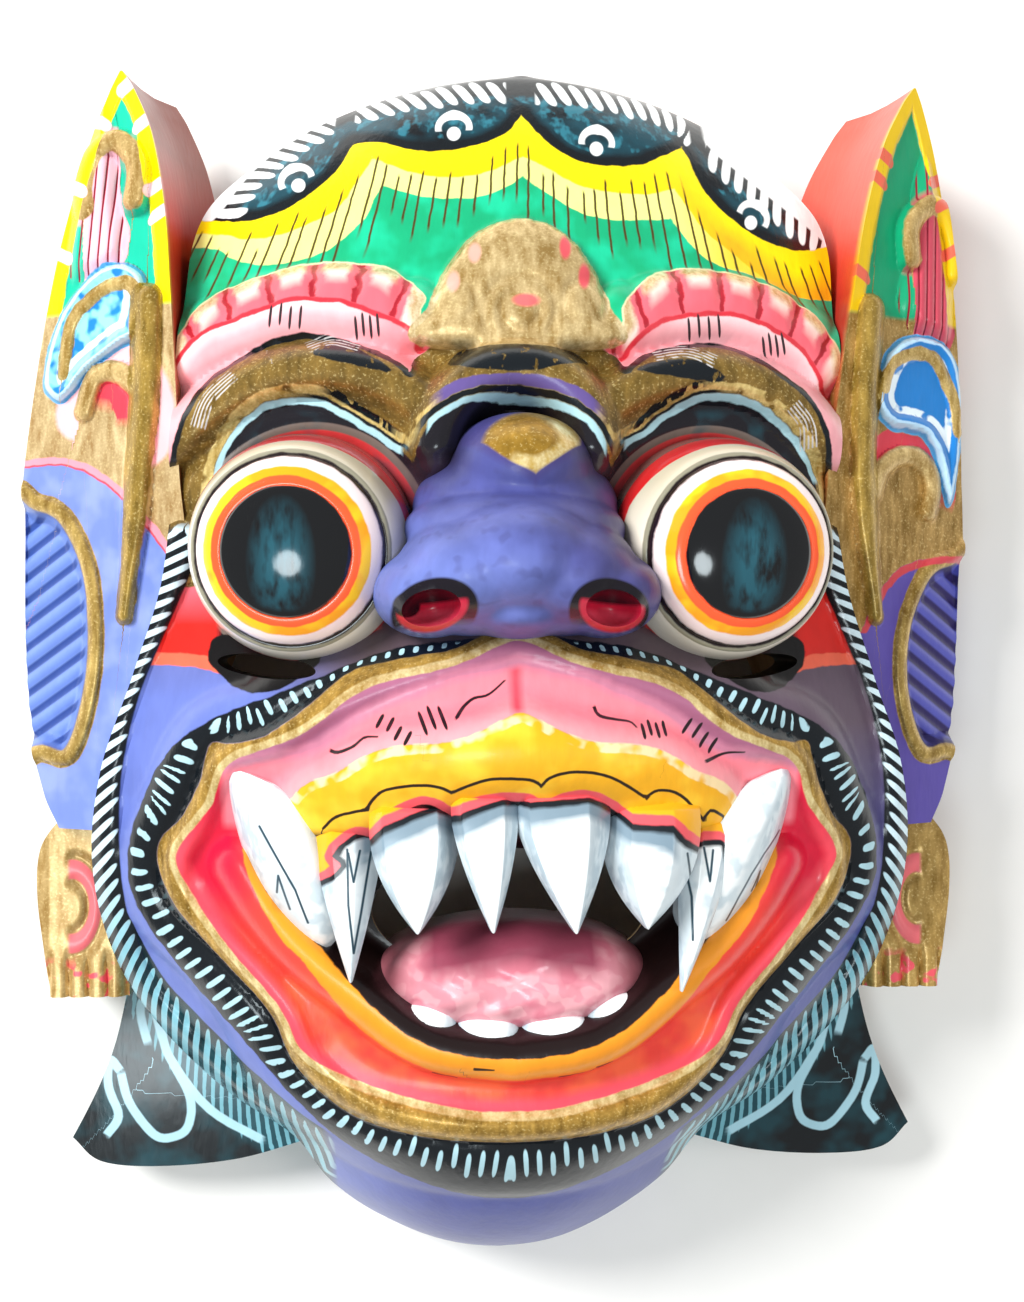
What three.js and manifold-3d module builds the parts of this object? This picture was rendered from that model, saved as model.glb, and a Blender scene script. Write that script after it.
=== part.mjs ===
// A barong mask carved from one block of light wood, with ears, tusks, teeth and a hollow back.
// It lies on its back: X to the viewer's right, Y up the face, Z out of the face. Millimetres.
import * as THREE from "three";
import { mergeVertices } from "three/addons/utils/BufferGeometryUtils.js";
import Module from "manifold-3d";

const wasm = await Module();
wasm.setup();

// Head block, as stations from the crown down to the chin:
// [y, half width, height on the centre line, height at the edge].
const headStations = [
  [129.5, 3, 30, 28],
  [127.5, 18, 33, 28],
  [121, 37, 39, 29],
  [112, 52, 45, 30],
  [98, 66, 51, 33],
  [78, 69, 57, 38],
  [50, 69, 63, 45],
  [20, 70, 66, 50],
  [0, 76, 71, 48],
  [-20, 83, 74, 45],
  [-40, 85.5, 71, 40],
  [-60, 81.5, 69, 34],
  [-76, 72, 67, 30],
  [-90, 59, 63, 26],
  [-102, 45, 54, 22],
  [-114, 36.5, 44, 17],
  [-124, 23, 30, 13],
  [-129.5, 7, 14, 11],
];
const headRoundness = 2.4;
const backPlane = 0;
const crownLean = 4.4;
const leanStart = 42;
const crownTop = 129.5;
const faceMiddle = [0, -12];

// Hollow for the face, and its walls.
const wallThickness = 13;
const backRimWidth = 15;

// Muzzle, the bulge that carries the upper lip.
const muzzle = { x: 0, y: -10, width: 46, height: 19, rise: 13 };
const socketDip = 7;

// Eyes: how far the ball stands out of its seat, and its section from the middle to the seat as
// shares of the radius and of that height.
const eye = { x: 40.4, y: 25.6, seat: 54, height: 31, outDegrees: 7, downDegrees: 5 };
const irisRadius = 17.3;
const irisSection = [
  [0, 1],
  [0.4, 0.97],
  [0.75, 0.9],
  [1, 0.78],
  [1.06, 0.72],
];
const eyeballRadius = 22.5;
const eyeballSection = [
  [0.91, 0.56],
  [1, 0.25],
  [1, -0.3],
  [0, -0.3],
];
const lid = {
  radius: 26,
  halfWidth: 4.6,
  height: 4,
  lift: -0.5,
  startDegrees: 28,
  endDegrees: 152,
  end: 0.2,
};
const slit = { x: 48.5, y: 1.6, z: 43, halfLength: 10, halfHeight: 2.3, depth: 54, turnDegrees: 6 };

// Brow ridges, over each eye and over the bridge of the nose.
const brow = {
  radius: 35.2,
  halfWidth: 6.4,
  height: 9,
  lift: 0,
  startDegrees: 44,
  endDegrees: 137,
  end: 0.45,
};
const bridgeBrow = { y: 44.5, radius: 17, halfWidth: 5.8, height: 7.5, lift: 5.5, end: 0.6 };

// Nose.
const noseTip = { x: 0, y: 20.6, z: 74, halfWidth: 21, halfHeight: 13.4, depth: 26 };
const noseWing = { x: 15, y: 16.4, z: 75, halfWidth: 11, halfHeight: 9, depth: 19 };
const noseBridge = { x: 0, y: 37.5, z: 62, halfWidth: 14.4, halfHeight: 14.6, depth: 22 };
const nostril = { x: 16.6, y: 12.4, z: 89, halfWidth: 5.4, halfHeight: 3.6, depth: 10 };

// Lip rim, the gilt edge round the whole mouth, from the peak under the nose down to the chin.
const lipRim = [
  [0, 6.4],
  [13.7, 3],
  [25.5, -0.8],
  [37, -6.2],
  [47, -12.8],
  [56.5, -16.4],
  [62, -27.5],
  [67, -38],
  [65.4, -46],
  [57, -54],
  [45.8, -66],
  [40.4, -77.5],
  [30, -86],
  [17, -89.2],
  [0, -90.4],
];
const lipRimRadius = 2.6;
const lipRimLift = 0.4;

// Beard bands: one follows the lip rim outside it, the other runs down the edge of the face.
const beard = { gap: 8.5, halfWidth: 4.6, height: 4.6, lift: -1.8, end: 0.6 };
const edgeBand = { halfWidth: 4.2, height: 4.2, lift: -0.6, end: 0.5 };
const edgeBandLine = [
  [66, 24],
  [70.5, 9],
  [75.5, -4],
  [80, -18],
  [81.8, -33],
  [81, -49],
  [77, -65],
  [69.5, -76.5],
  [59, -88],
  [47.5, -98],
];

// Mouth: opening, gums, tongue and teeth.
const mouth = { y: -47.5, halfWidth: 28, halfHeight: 13.5 };
const upperGum = { halfWidth: 9.4, height: 9.4, lift: -5.4, end: 0.5 };
const upperGumLine = [
  [0, -16],
  [14, -17.4],
  [27, -21],
  [38.5, -27.5],
];
const lowerGum = { halfWidth: 5, height: 5, lift: 0.5, end: 0.5 };
const lowerGumLine = [
  [0, -75],
  [17.5, -72],
  [34, -60.5],
  [46, -47],
];
const tongue = { x: 0, y: -61, z: 50, halfWidth: 28, halfHeight: 13, depth: 19 };
const lowerTooth = { y: -67.6, spread: 11.6, halfWidth: 6.6, halfHeight: 5, drop: 1.4, sunk: 1 };
const toothRootHeight = 8;
const toothTipRadius = 0.7;
const toothFlatness = 0.7;
const toothTaper = 1.6;
// Each upper tooth: left and right side at the gum, its gum line, tip and height of its middle.
const upperTeeth = [
  { left: -38, right: -26, gumY: -33, tip: [-31.8, -59.4], z: 71 },
  { left: -27.5, right: -11.5, gumY: -30, tip: [-19, -49], z: 77 },
  { left: -12.5, right: -0.5, gumY: -28, tip: [-4.8, -48.4], z: 81 },
  { left: -0.5, right: 17, gumY: -28, tip: [11, -48.8], z: 80 },
  { left: 16.5, right: 34.5, gumY: -30, tip: [25, -48.6], z: 76 },
  { left: 31, right: 42.4, gumY: -33, tip: [32.6, -61.8], z: 71 },
];
// Side tusk, seen from the front: a curved blade that rises from the lower jaw to the lip corner.
const tusk = [
  [55.8, -18.4],
  [54.6, -29],
  [51.2, -40.4],
  [44.5, -49.5],
  [36.4, -54.6],
  [32.6, -50],
  [34, -41],
  [36.4, -32],
  [42.4, -23.6],
];
const tuskMiddle = [43.4, -37];
const tuskRise = 7;
const tuskEdgeLift = -1;
const tuskRoot = 39;

// Crown carving: flame crests over the brows and a leaf boss between them.
const crest = {
  radius: 49.6,
  halfWidth: 7.4,
  height: 6,
  lift: -1,
  startDegrees: 52,
  endDegrees: 116,
  end: 0.5,
};
const crestLobes = 7;
const crestLobeRise = 1.3;
const boss = [
  [0, 92.4],
  [9, 89.4],
  [16.2, 81],
  [19.6, 73],
  [20.6, 65.6],
];
const bossMiddle = [0, 76];
const bossRise = 7;
const bossEdge = 4;

// Ears: a tall leaf with a sloping front, a hollowed shell and a lobe below.
const earOutline = [
  [64, 16],
  [66, 41],
  [68.5, 57],
  [71, 79],
  [73.2, 96],
  [77, 112],
  [84.5, 126],
  [91, 111],
  [97, 88],
  [101, 60],
  [103, 33],
  [102.6, -6],
  [97.6, -26],
  [94, -32],
  [78, -32],
  [78, -6],
];
const earInnerHeight = 47;
const earOuterHeight = 28;
const earInnerX = 72;
const earOuterX = 102;
const earBackShift = 4;
const earTipLift = 14;
// The back of an ear is cut away in a slope from the first of these corners' heights to the last.
const earTipCut = [
  [74, 88],
  [112, 88],
  [112, 126],
  [74, 126],
];

// Carving on the ears. It sits higher on the viewer's left ear than on the right one.
const earCarvingOffset = 5.5;
const lotus = { halfWidth: 7.4, height: 5, lift: -1.5, tip: 0.2 };
const lotusLine = [
  [90, 78],
  [89.4, 98],
  [88.6, 117],
];
const lotusCap = { halfWidth: 2.4, height: 3.6, lift: 0.5, end: 0.5 };
const lotusCapLine = [
  [85, 95],
  [85.6, 102],
  [90, 106],
  [95, 103.6],
  [97.6, 93],
];
const scroll = { halfWidth: 2.2, height: 2.8, lift: 0.2, end: 0.5 };
const scrollLine = [
  [84, 61],
  [79.5, 65],
  [82, 75],
  [90, 78],
  [97, 71],
  [99.4, 56],
  [98, 44],
];
const flower = { halfWidth: 2.2, height: 2.4, lift: 0.2, end: 0.5 };
const flowerLine = [
  [78.8, 44],
  [82, 51],
  [89, 53],
  [94, 47.6],
  [93.4, 41],
];
const shellOutline = [
  [104, 30],
  [93, 27],
  [87, 15],
  [86, -1],
  [90.6, -17],
  [104, -16],
];
const shellDepth = 6;
const shellRim = { halfWidth: 1.9, height: 1.9, lift: 0, end: 0.6 };
const lobe = [
  [81.5, -33],
  [86, -30],
  [93, -30],
  [99, -38],
  [99.6, -48],
  [97.6, -60],
  [97, -70],
  [81.5, -68],
];
const lobeHeight = 29;
const pendant = { halfWidth: 4.4, height: 4.4, lift: -1, end: 0.35 };
const pendantLine = [
  [74.4, 74],
  [74, 56],
  [75.6, 36],
  [78, 14],
];

// Beard tufts, flat at the back, one each side of the chin.
const tuft = [
  [82, -68],
  [86.6, -84],
  [94.7, -102.6],
  [89, -108.4],
  [74.9, -110],
  [58, -109],
  [43, -104.6],
  [44, -90],
  [68, -70],
];
const tuftHeight = 16;

// Fineness of the facets, and how deep a raised band stands in the face.
const loopCount = 42;
const headFacets = 42;
const headRings = 8;
const roundFacets = 14;
const bandFacets = 4;
const bandSteps = 12;
const rootDepth = 2;
const sameVertex = 1e-3;
const beyond = noseTip.z + noseTip.depth;

// A smooth function through rows of [at, value, ...], read at any position along them.
function profile(rows, column) {
  const at = (i) => rows[Math.min(rows.length - 1, Math.max(0, i))];
  const slope = (i) => {
    const [before, after] = [at(i - 1), at(i + 1)];
    return (after[column] - before[column]) / (after[0] - before[0] || 1);
  };
  return (position) => {
    let i = 0;
    while (i < rows.length - 2 && position < rows[i + 1][0]) i += 1;
    const [from, to] = [rows[i], rows[i + 1]];
    const gap = to[0] - from[0];
    const t = THREE.MathUtils.clamp((position - from[0]) / gap, 0, 1);
    const [a, b] = [t * t * (3 - 2 * t), t * (1 - t)];
    const bend = gap * b * (slope(i) * (1 - t) - slope(i + 1) * t);
    return from[column] * (1 - a) + to[column] * a + bend;
  };
}

const headHalfWidth = profile(headStations, 1);
const headRidge = profile(headStations, 2);
const headEdge = profile(headStations, 3);

const bell = (x, y, form, width, height) =>
  Math.exp(-(((Math.abs(x) - form.x) / width) ** 2) - ((y - form.y) / height) ** 2);

// Height of the face block over the back plane, before the carved features are added.
function faceHeight(x, y) {
  const across = Math.min(1, Math.abs(x) / headHalfWidth(y));
  const swell = 1 - across ** headRoundness;
  const lip = muzzle.rise * bell(x, y, muzzle, muzzle.width, muzzle.height);
  const socket = socketDip * bell(x, y, eye, eyeballRadius, eyeballRadius);
  return headEdge(y) + (headRidge(y) - headEdge(y)) * swell + lip - socket;
}

// Turns a three.js geometry into a manifold solid.
function solid(geometry) {
  const bare = geometry.index ? geometry.toNonIndexed() : geometry;
  const only = new THREE.BufferGeometry().setAttribute("position", bare.getAttribute("position"));
  const merged = mergeVertices(only, sameVertex);
  const made = new wasm.Manifold(
    new wasm.Mesh({
      numProp: 3,
      vertProperties: new Float32Array(merged.attributes.position.array),
      triVerts: new Uint32Array(merged.index.array),
    }),
  );
  if (made.volume() > 0) return made;
  return solid(turnedOut(merged));
}

// Reverses each triangle of a geometry.
function turnedOut(geometry) {
  const flat = geometry.index ? geometry.toNonIndexed() : geometry.clone();
  const p = flat.getAttribute("position");
  const [a, b] = [new THREE.Vector3(), new THREE.Vector3()];
  for (let i = 0; i < p.count; i += 3) {
    a.fromBufferAttribute(p, i + 1);
    b.fromBufferAttribute(p, i + 2);
    p.setXYZ(i + 1, b.x, b.y, b.z);
    p.setXYZ(i + 2, a.x, a.y, a.z);
  }
  return flat;
}

// Moves every vertex of a geometry to where place() says.
function moved(geometry, place) {
  const g = geometry.index ? geometry.toNonIndexed() : geometry.clone();
  const p = g.getAttribute("position");
  for (let i = 0; i < p.count; i += 1) p.setXYZ(i, ...place(p.getX(i), p.getY(i), p.getZ(i)));
  return g;
}

const mirrored = (geometry) => turnedOut(moved(geometry, (x, y, z) => [-x, y, z]));
const bothSides = (geometry) => [solid(geometry), solid(mirrored(geometry))];

// A closed outline from half of one: the points with x above 0 are repeated on the other side.
function wholeOutline(half) {
  const other = half.filter(([x]) => x > 0).map(([x, y]) => [-x, y]);
  return [...half, ...other.reverse()];
}

function smoothLoop(points, count) {
  const curve = new THREE.CatmullRomCurve3(
    points.map(([x, y]) => new THREE.Vector3(x, y, 0)),
    true,
    "centripetal",
  );
  return curve.getSpacedPoints(count).slice(0, count);
}

// A domed body over an outline: rings from its middle to its edge, then straight down to the base.
function dome(outline, middle, rings, top, base) {
  const count = outline.length;
  const shares = Array.from({ length: rings + 1 }, (_, i) => new THREE.Vector2(i / rings, 1));
  const section = [...shares, new THREE.Vector2(1, 0), new THREE.Vector2(0, 0)];
  const spun = new THREE.LatheGeometry(section, count);
  return moved(spun, (x, isTop, z) => {
    const share = Math.min(1, Math.hypot(x, z));
    const turn = (Math.atan2(x, z) / (2 * Math.PI) + 1) * count;
    const edge = outline[Math.round(turn) % count];
    const px = middle[0] + (edge.x - middle[0]) * share;
    const py = middle[1] + (edge.y - middle[1]) * share;
    return [px, py, isTop > 0.5 ? top(px, py, share) : base];
  });
}

// A flat outline raised into a plate whose front and back follow two functions.
function plate(outline, front, back, backShift = 0) {
  const shape = new THREE.Shape(outline.map(([x, y]) => new THREE.Vector2(x, y)));
  const raised = new THREE.ExtrudeGeometry(shape, { depth: 1, bevelEnabled: false });
  return moved(raised, (x, y, isFront) =>
    isFront > 0.5 ? [x, y, front(x, y)] : [x - backShift, y, back(x, y)],
  );
}

const narrowed = (end, t) => Math.min(1, end + Math.sqrt(Math.sin(Math.PI * t)));

// A raised band along a path. It narrows at its ends to the share that the band's end says, and its
// lower half is rootDepth times as deep, so that it stands in the face.
function band(points, form, { steps = bandSteps, sides = bandFacets, share } = {}) {
  const path = new THREE.CatmullRomCurve3(points.map((p) => new THREE.Vector3(...p)));
  const section = Array.from({ length: steps + 1 }, (_, i) => new THREE.Vector2(1, i / steps));
  const spun = new THREE.LatheGeometry(
    [new THREE.Vector2(0, 0), ...section, new THREE.Vector2(0, 1)],
    sides,
  );
  return moved(spun, (x, along, z) => {
    const centre = path.getPointAt(along);
    const way = path.getTangentAt(along);
    const side = new THREE.Vector3(way.y, -way.x, 0).normalize();
    const wide = share ? share(along) : narrowed(form.end, along);
    const out = side.multiplyScalar(x * form.halfWidth * wide);
    const up = z * form.height * wide * (z < 0 ? rootDepth : 1);
    return [centre.x + out.x, centre.y + out.y, centre.z + up];
  });
}

// A closed ridge along a loop that lies on the face.
function rim(loop) {
  const ring = new THREE.TorusGeometry(2, 1, bandFacets, loopCount);
  return moved(ring, (x, y, z) => {
    const turn = Math.round((Math.atan2(y, x) / (2 * Math.PI) + 1) * loopCount) % loopCount;
    const at = (step) => loop[(turn + step + loopCount) % loopCount];
    const [before, here, after] = [at(-1), at(0), at(1)];
    const side = new THREE.Vector2(after.y - before.y, before.x - after.x).normalize();
    const out = (Math.hypot(x, y) - 2) * lipRimRadius;
    const up = faceHeight(here.x, here.y) + lipRimLift;
    return [here.x + side.x * out, here.y + side.y * out, up + z * lipRimRadius];
  });
}

function ellipsoid({ x, y, z, halfWidth, halfHeight, depth }, across = roundFacets, down = 8) {
  return new THREE.SphereGeometry(1, across, down)
    .scale(halfWidth, halfHeight, depth)
    .translate(x, y, z);
}

const onFace = (points, lift) => points.map(([x, y]) => [x, y, faceHeight(x, y) + lift]);
const acrossFace = (half, lift) => onFace(wholeOutline(half), lift).sort((a, b) => a[0] - b[0]);

// Points along an arc on the face, round a middle.
function arc({ x = 0, y }, { radius, lift, startDegrees = 0, endDegrees = 180 }, count = 9) {
  const turns = endDegrees - startDegrees;
  const points = Array.from({ length: count }, (_, i) => {
    const turn = THREE.MathUtils.degToRad(startDegrees + (turns * i) / (count - 1));
    return [x + radius * Math.cos(turn), y + radius * Math.sin(turn)];
  });
  return onFace(points, lift);
}

function headBlock() {
  const half = headStations.map(([y, width]) => [width, y]);
  const outline = smoothLoop(wholeOutline(half), headFacets);
  return [solid(dome(outline, faceMiddle, headRings, faceHeight, backPlane))];
}

function faceHollow() {
  const half = headStations
    .filter(([, width]) => width > backRimWidth)
    .map(([y, width]) => [width - backRimWidth, y * (1 - backRimWidth / crownTop)]);
  const outline = smoothLoop(wholeOutline(half), headFacets / 2);
  const roof = (x, y) => faceHeight(x, y) - wallThickness;
  return [solid(dome(outline, faceMiddle, headRings / 2, roof, backPlane - 1))];
}

function eyes() {
  const scaled = (rows, radius) => rows.map(([r, h]) => new THREE.Vector2(r * radius, h * eye.height));
  const section = [...scaled(irisSection, irisRadius), ...scaled(eyeballSection, eyeballRadius)];
  const ball = new THREE.LatheGeometry(section, roundFacets + 2)
    .rotateX(Math.PI / 2 + THREE.MathUtils.degToRad(eye.downDegrees))
    .rotateY(THREE.MathUtils.degToRad(eye.outDegrees))
    .translate(eye.x, eye.y, eye.seat);
  return [...bothSides(ball), ...bothSides(band(arc(eye, lid), lid, { steps: 8 }))];
}

function eyeSlits() {
  const cut = new THREE.SphereGeometry(1, 10, 6)
    .scale(slit.halfLength, slit.halfHeight, slit.depth)
    .rotateZ(THREE.MathUtils.degToRad(slit.turnDegrees))
    .translate(slit.x, slit.y, slit.z);
  return bothSides(cut);
}

function brows() {
  const ridge = band(arc(eye, brow), brow, { steps: 9, sides: 6 });
  const bridge = band(arc(bridgeBrow, bridgeBrow), bridgeBrow, { sides: 6 });
  return [...bothSides(ridge), solid(bridge)];
}

function nose() {
  return [
    solid(ellipsoid(noseTip)),
    solid(ellipsoid(noseBridge)),
    ...bothSides(ellipsoid(noseWing)),
  ];
}

const nostrils = () => bothSides(ellipsoid(nostril, 10, 6));

const lips = () => [solid(rim(smoothLoop(wholeOutline(lipRim), loopCount)))];

// The beard band keeps one distance outside the lip rim, from the cheek round to the chin.
function beardBands() {
  const loop = smoothLoop(wholeOutline(lipRim), loopCount);
  const outside = loop.map((p, i) => {
    const [a, b] = [loop[(i + loopCount - 1) % loopCount], loop[(i + 1) % loopCount]];
    const away = new THREE.Vector2(a.y - b.y, b.x - a.x).normalize().multiplyScalar(beard.gap);
    return [p.x + away.x, p.y + away.y];
  });
  const belowCheeks = outside.filter(([, y]) => y < slit.y);
  return [
    solid(band(onFace(belowCheeks, beard.lift), beard, { steps: loopCount - 8 })),
    ...bothSides(band(onFace(edgeBandLine, edgeBand.lift), edgeBand)),
  ];
}

function mouthOpening() {
  const { y, halfWidth, halfHeight } = mouth;
  const tall = new THREE.CylinderGeometry(1, 1, 2 * beyond, roundFacets)
    .rotateX(Math.PI / 2)
    .scale(halfWidth, halfHeight, 1)
    .translate(0, y, 0);
  return [solid(tall)];
}

function gums() {
  return [
    solid(band(acrossFace(upperGumLine, upperGum.lift), upperGum, { sides: 8 })),
    solid(band(acrossFace(lowerGumLine, lowerGum.lift), lowerGum, { steps: 10, sides: 6 })),
  ];
}

// An upper tooth is a wedge with a ridge down its front, narrowing from the gum to a point.
function upperTooth({ left, right, gumY, tip, z }) {
  const middle = (left + right) / 2;
  const root = gumY + toothRootHeight;
  const path = [
    [middle, root, z],
    [middle, gumY, z],
    [...tip, z],
  ];
  const halfWidth = (right - left) / 2;
  const share = (t) => {
    const y = THREE.MathUtils.lerp(root, tip[1], t);
    const below = THREE.MathUtils.clamp((gumY - y) / (gumY - tip[1]), 0, 1);
    return THREE.MathUtils.lerp(1, toothTipRadius / halfWidth, below ** toothTaper);
  };
  const form = { halfWidth, height: halfWidth * toothFlatness };
  return solid(band(path, form, { steps: 4, share }));
}

function teeth() {
  const top = (x, y, share) => faceHeight(x, y) + tuskEdgeLift + tuskRise * (1 - share ** 2);
  const blade = dome(smoothLoop(tusk, roundFacets), tuskMiddle, 2, top, tuskRoot);
  const lower = [0.5, 1.5].flatMap((place) => {
    const [x, y] = [place * lowerTooth.spread, lowerTooth.y + place ** 2 * lowerTooth.drop];
    const z = faceHeight(x, y) - lowerTooth.sunk;
    const { halfWidth, halfHeight } = lowerTooth;
    return bothSides(ellipsoid({ x, y, z, halfWidth, halfHeight, depth: halfWidth }, 8, 6));
  });
  return [...upperTeeth.map(upperTooth), ...bothSides(blade), ...lower];
}

const tongueBody = () => [solid(ellipsoid(tongue))];

function crown() {
  const wave = (t) => Math.abs(Math.sin(Math.PI * crestLobes * t));
  const lobed = (t) => 1 + (crestLobeRise / crest.halfWidth) * wave(t);
  const share = (t) => lobed(t) * narrowed(crest.end, t);
  const flame = band(arc(eye, crest), crest, { steps: crestLobes * 2, sides: 6, share });
  const outline = smoothLoop(wholeOutline(boss), roundFacets + 2);
  const leafTop = (x, y, out) =>
    faceHeight(x, y) + THREE.MathUtils.lerp(bossRise, bossEdge, out ** 3);
  const leaf = dome(outline, bossMiddle, 3, leafTop, backPlane + wallThickness);
  return [...bothSides(flame), solid(leaf)];
}

// Height of an ear's front, which slopes back from its inner edge to its outer edge.
function earFront(x) {
  const across = (x - earInnerX) / (earOuterX - earInnerX);
  return THREE.MathUtils.lerp(earInnerHeight, earOuterHeight, across);
}

// The same carving on both ears, raised on the viewer's left and lowered on the right.
function perEar(make) {
  return [solid(make(-earCarvingOffset)), solid(mirrored(make(earCarvingOffset)))];
}

function ears() {
  const on = (points, lift, offset = 0) =>
    points.map(([x, y]) => [x, y + offset, earFront(x) + lift]);
  const raised = (line, form, options) =>
    perEar((offset) => band(on(line, form.lift, offset), form, options));
  const petal = (t) => THREE.MathUtils.lerp(1, lotus.tip, t);
  return [
    ...bothSides(plate(earOutline, earFront, () => backPlane, earBackShift)),
    ...bothSides(plate(lobe, () => lobeHeight, () => backPlane)),
    ...bothSides(band(on(pendantLine, pendant.lift), pendant, { steps: 7, sides: 6 })),
    ...raised(lotusLine, lotus, { steps: 3, share: petal }),
    ...raised(lotusCapLine, lotusCap, { steps: 6 }),
    ...raised(scrollLine, scroll, { steps: 9 }),
    ...raised(flowerLine, flower, { steps: 6 }),
    ...bothSides(band(on(shellOutline.slice(1, -1), shellRim.lift), shellRim, { steps: 7 })),
  ];
}

// What is cut from the ears: the hollowed shell at the front and the slope behind the tip.
function earCuts() {
  const [start, end] = [earTipCut[0][1], earTipCut[2][1]];
  const slope = (x, y) => backPlane + (earTipLift * (y - start)) / (end - start);
  return [
    ...bothSides(plate(shellOutline, () => beyond, (x) => earFront(x) - shellDepth)),
    ...bothSides(plate(earTipCut, slope, () => backPlane - 1)),
  ];
}

const tufts = () => bothSides(plate(tuft, () => tuftHeight, () => backPlane));

const joined = (bodies) => bodies.reduce((whole, body) => whole.add(body));

// The crown leans a little to one side, as the carver left it.
function leaning(geometry) {
  const reach = crownTop - leanStart;
  return moved(geometry, (x, y, z) => {
    const share = THREE.MathUtils.clamp((y - leanStart) / reach, 0, 1);
    return [x + crownLean * share, y, z];
  });
}

function carve() {
  const earBlanks = joined(ears()).subtract(joined(earCuts()));
  const block = joined([...headBlock(), ...tufts(), ...brows(), ...eyes(), ...nose(), ...crown()]);
  const hollowed = block
    .add(earBlanks)
    .add(joined([...lips(), ...beardBands()]))
    .subtract(joined([...faceHollow(), ...mouthOpening(), ...eyeSlits(), ...nostrils()]));
  return hollowed.add(joined([...gums(), ...teeth(), ...tongueBody()]));
}

function maskGeometry() {
  const { vertProperties, numProp, triVerts, numVert } = carve().getMesh();
  const positions = new Float32Array(numVert * 3);
  for (let i = 0; i < numVert; i += 1)
    positions.set(vertProperties.subarray(i * numProp, i * numProp + 3), i * 3);
  const geometry = new THREE.BufferGeometry()
    .setAttribute("position", new THREE.BufferAttribute(positions, 3))
    .setIndex(new THREE.BufferAttribute(triVerts, 1));
  return leaning(geometry);
}

const paintedWood = new THREE.MeshStandardMaterial({ color: 0x5f6bb0, roughness: 0.45, metalness: 0 });
const mask = new THREE.Mesh(maskGeometry(), paintedWood);
mask.name = "mask";

const part = new THREE.Group();
part.add(mask);

export default part;
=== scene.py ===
# %% [markdown]
# # A carved and painted barong mask
# The mask lies on its back. X runs to the viewer's right, Y up the face and Z out of the face. The
# carving is measured in millimetres and turned to metres as each piece becomes a mesh. One block of
# light wood carries everything, so the pieces below are areas of that one carving: the face, nose,
# eyes, teeth, tongue, ears, ear lobes and beard tufts.

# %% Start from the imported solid
import math

import bmesh
import bpy
import numpy as np
from mathutils import Matrix, Vector


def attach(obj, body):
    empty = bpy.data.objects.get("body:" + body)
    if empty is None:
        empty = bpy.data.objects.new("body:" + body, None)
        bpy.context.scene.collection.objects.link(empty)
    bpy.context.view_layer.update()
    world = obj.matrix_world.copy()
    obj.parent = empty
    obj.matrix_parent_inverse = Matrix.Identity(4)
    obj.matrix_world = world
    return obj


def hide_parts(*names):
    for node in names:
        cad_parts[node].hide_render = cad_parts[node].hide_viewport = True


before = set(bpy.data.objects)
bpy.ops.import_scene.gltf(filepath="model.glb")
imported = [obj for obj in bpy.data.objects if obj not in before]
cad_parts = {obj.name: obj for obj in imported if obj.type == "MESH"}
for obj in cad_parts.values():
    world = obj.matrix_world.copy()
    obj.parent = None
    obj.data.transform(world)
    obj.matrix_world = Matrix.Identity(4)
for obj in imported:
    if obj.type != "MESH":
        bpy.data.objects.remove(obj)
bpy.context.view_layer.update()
MM = 0.001
CROWN_TOP = 129.5
LEAN, LEAN_START = 4.4, 42.0

# %% [markdown]
# ## Lines that the carver would draw
# A carver draws a few points on the block and a smooth curve through them. The same is done here: a
# short list of points, a smooth curve, and for any place on the face its distance to the curve and
# how far along the curve the nearest point is. The distance shapes the carving, and the same two
# numbers later guide the brush.

# %% Smooth curves, distances and blends
TIE = 1e-7


def smooth_line(points, closed=False, steps=6):
    """A curve through a few points, as short straight pieces."""
    p = np.array(points, float)
    around = np.vstack([p[-1], p, p[:2]]) if closed else np.vstack([2 * p[0] - p[1], p, 2 * p[-1] - p[-2]])
    pieces = []
    for a, b, c, d in zip(around, around[1:], around[2:], around[3:]):
        t = np.linspace(0, 1, steps, endpoint=False)[:, None]
        pieces.append(b + t * (c - a) / 2 + t**2 * (a - 2.5 * b + 2 * c - d / 2)
                      + t**3 * (-a + 3 * b - 3 * c + d) / 2)
    last = pieces[0][:1] if closed else p[-1:]
    return np.vstack(pieces + [last])


def beside(points, x, y, closed=False, steps=6, spans=False):
    """Distance from a line, above 0 on its left (or outside a closed one), and length along it.

    A line that spans the whole face is above 0 over it, also beside its sharp corners.
    """
    line = smooth_line(points, closed, steps)
    best = np.full(x.shape, 1e9)
    side, along = np.zeros(x.shape), np.zeros(x.shape)
    inside = np.zeros(x.shape, bool)
    run = 0.0
    for (ax, ay), (bx, by) in zip(line, line[1:]):
        dx, dy = bx - ax, by - ay
        length = math.hypot(dx, dy)
        if length < 1e-9:
            continue
        t = np.clip(((x - ax) * dx + (y - ay) * dy) / length**2, 0, 1)
        away = np.hypot(x - ax - t * dx, y - ay - t * dy)
        level = (dx * (y - ay) - dy * (x - ax)) / length
        # Outside a corner two pieces are equally near, and the one seen more squarely gives the side.
        nearer = (away < best - TIE) | ((away < best + TIE) & (np.abs(level) > np.abs(side)))
        best = np.where(nearer, away, best)
        side = np.where(nearer, level, side)
        along = np.where(nearer, run + t * length, along)
        if closed:
            crosses = (ay > y) != (by > y)
            inside ^= crosses & (x < ax + (y - ay) * dx / (dy if abs(dy) > 1e-9 else 1e-9))
        if spans:
            crosses = (ax > x) != (bx > x)
            inside ^= crosses & (y < ay + (x - ax) * dy / (dx if abs(dx) > 1e-9 else 1e-9))
        run += length
    return best * (np.where(inside, -1, 1) if closed or spans else np.where(side < 0, -1, 1)), along


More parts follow.
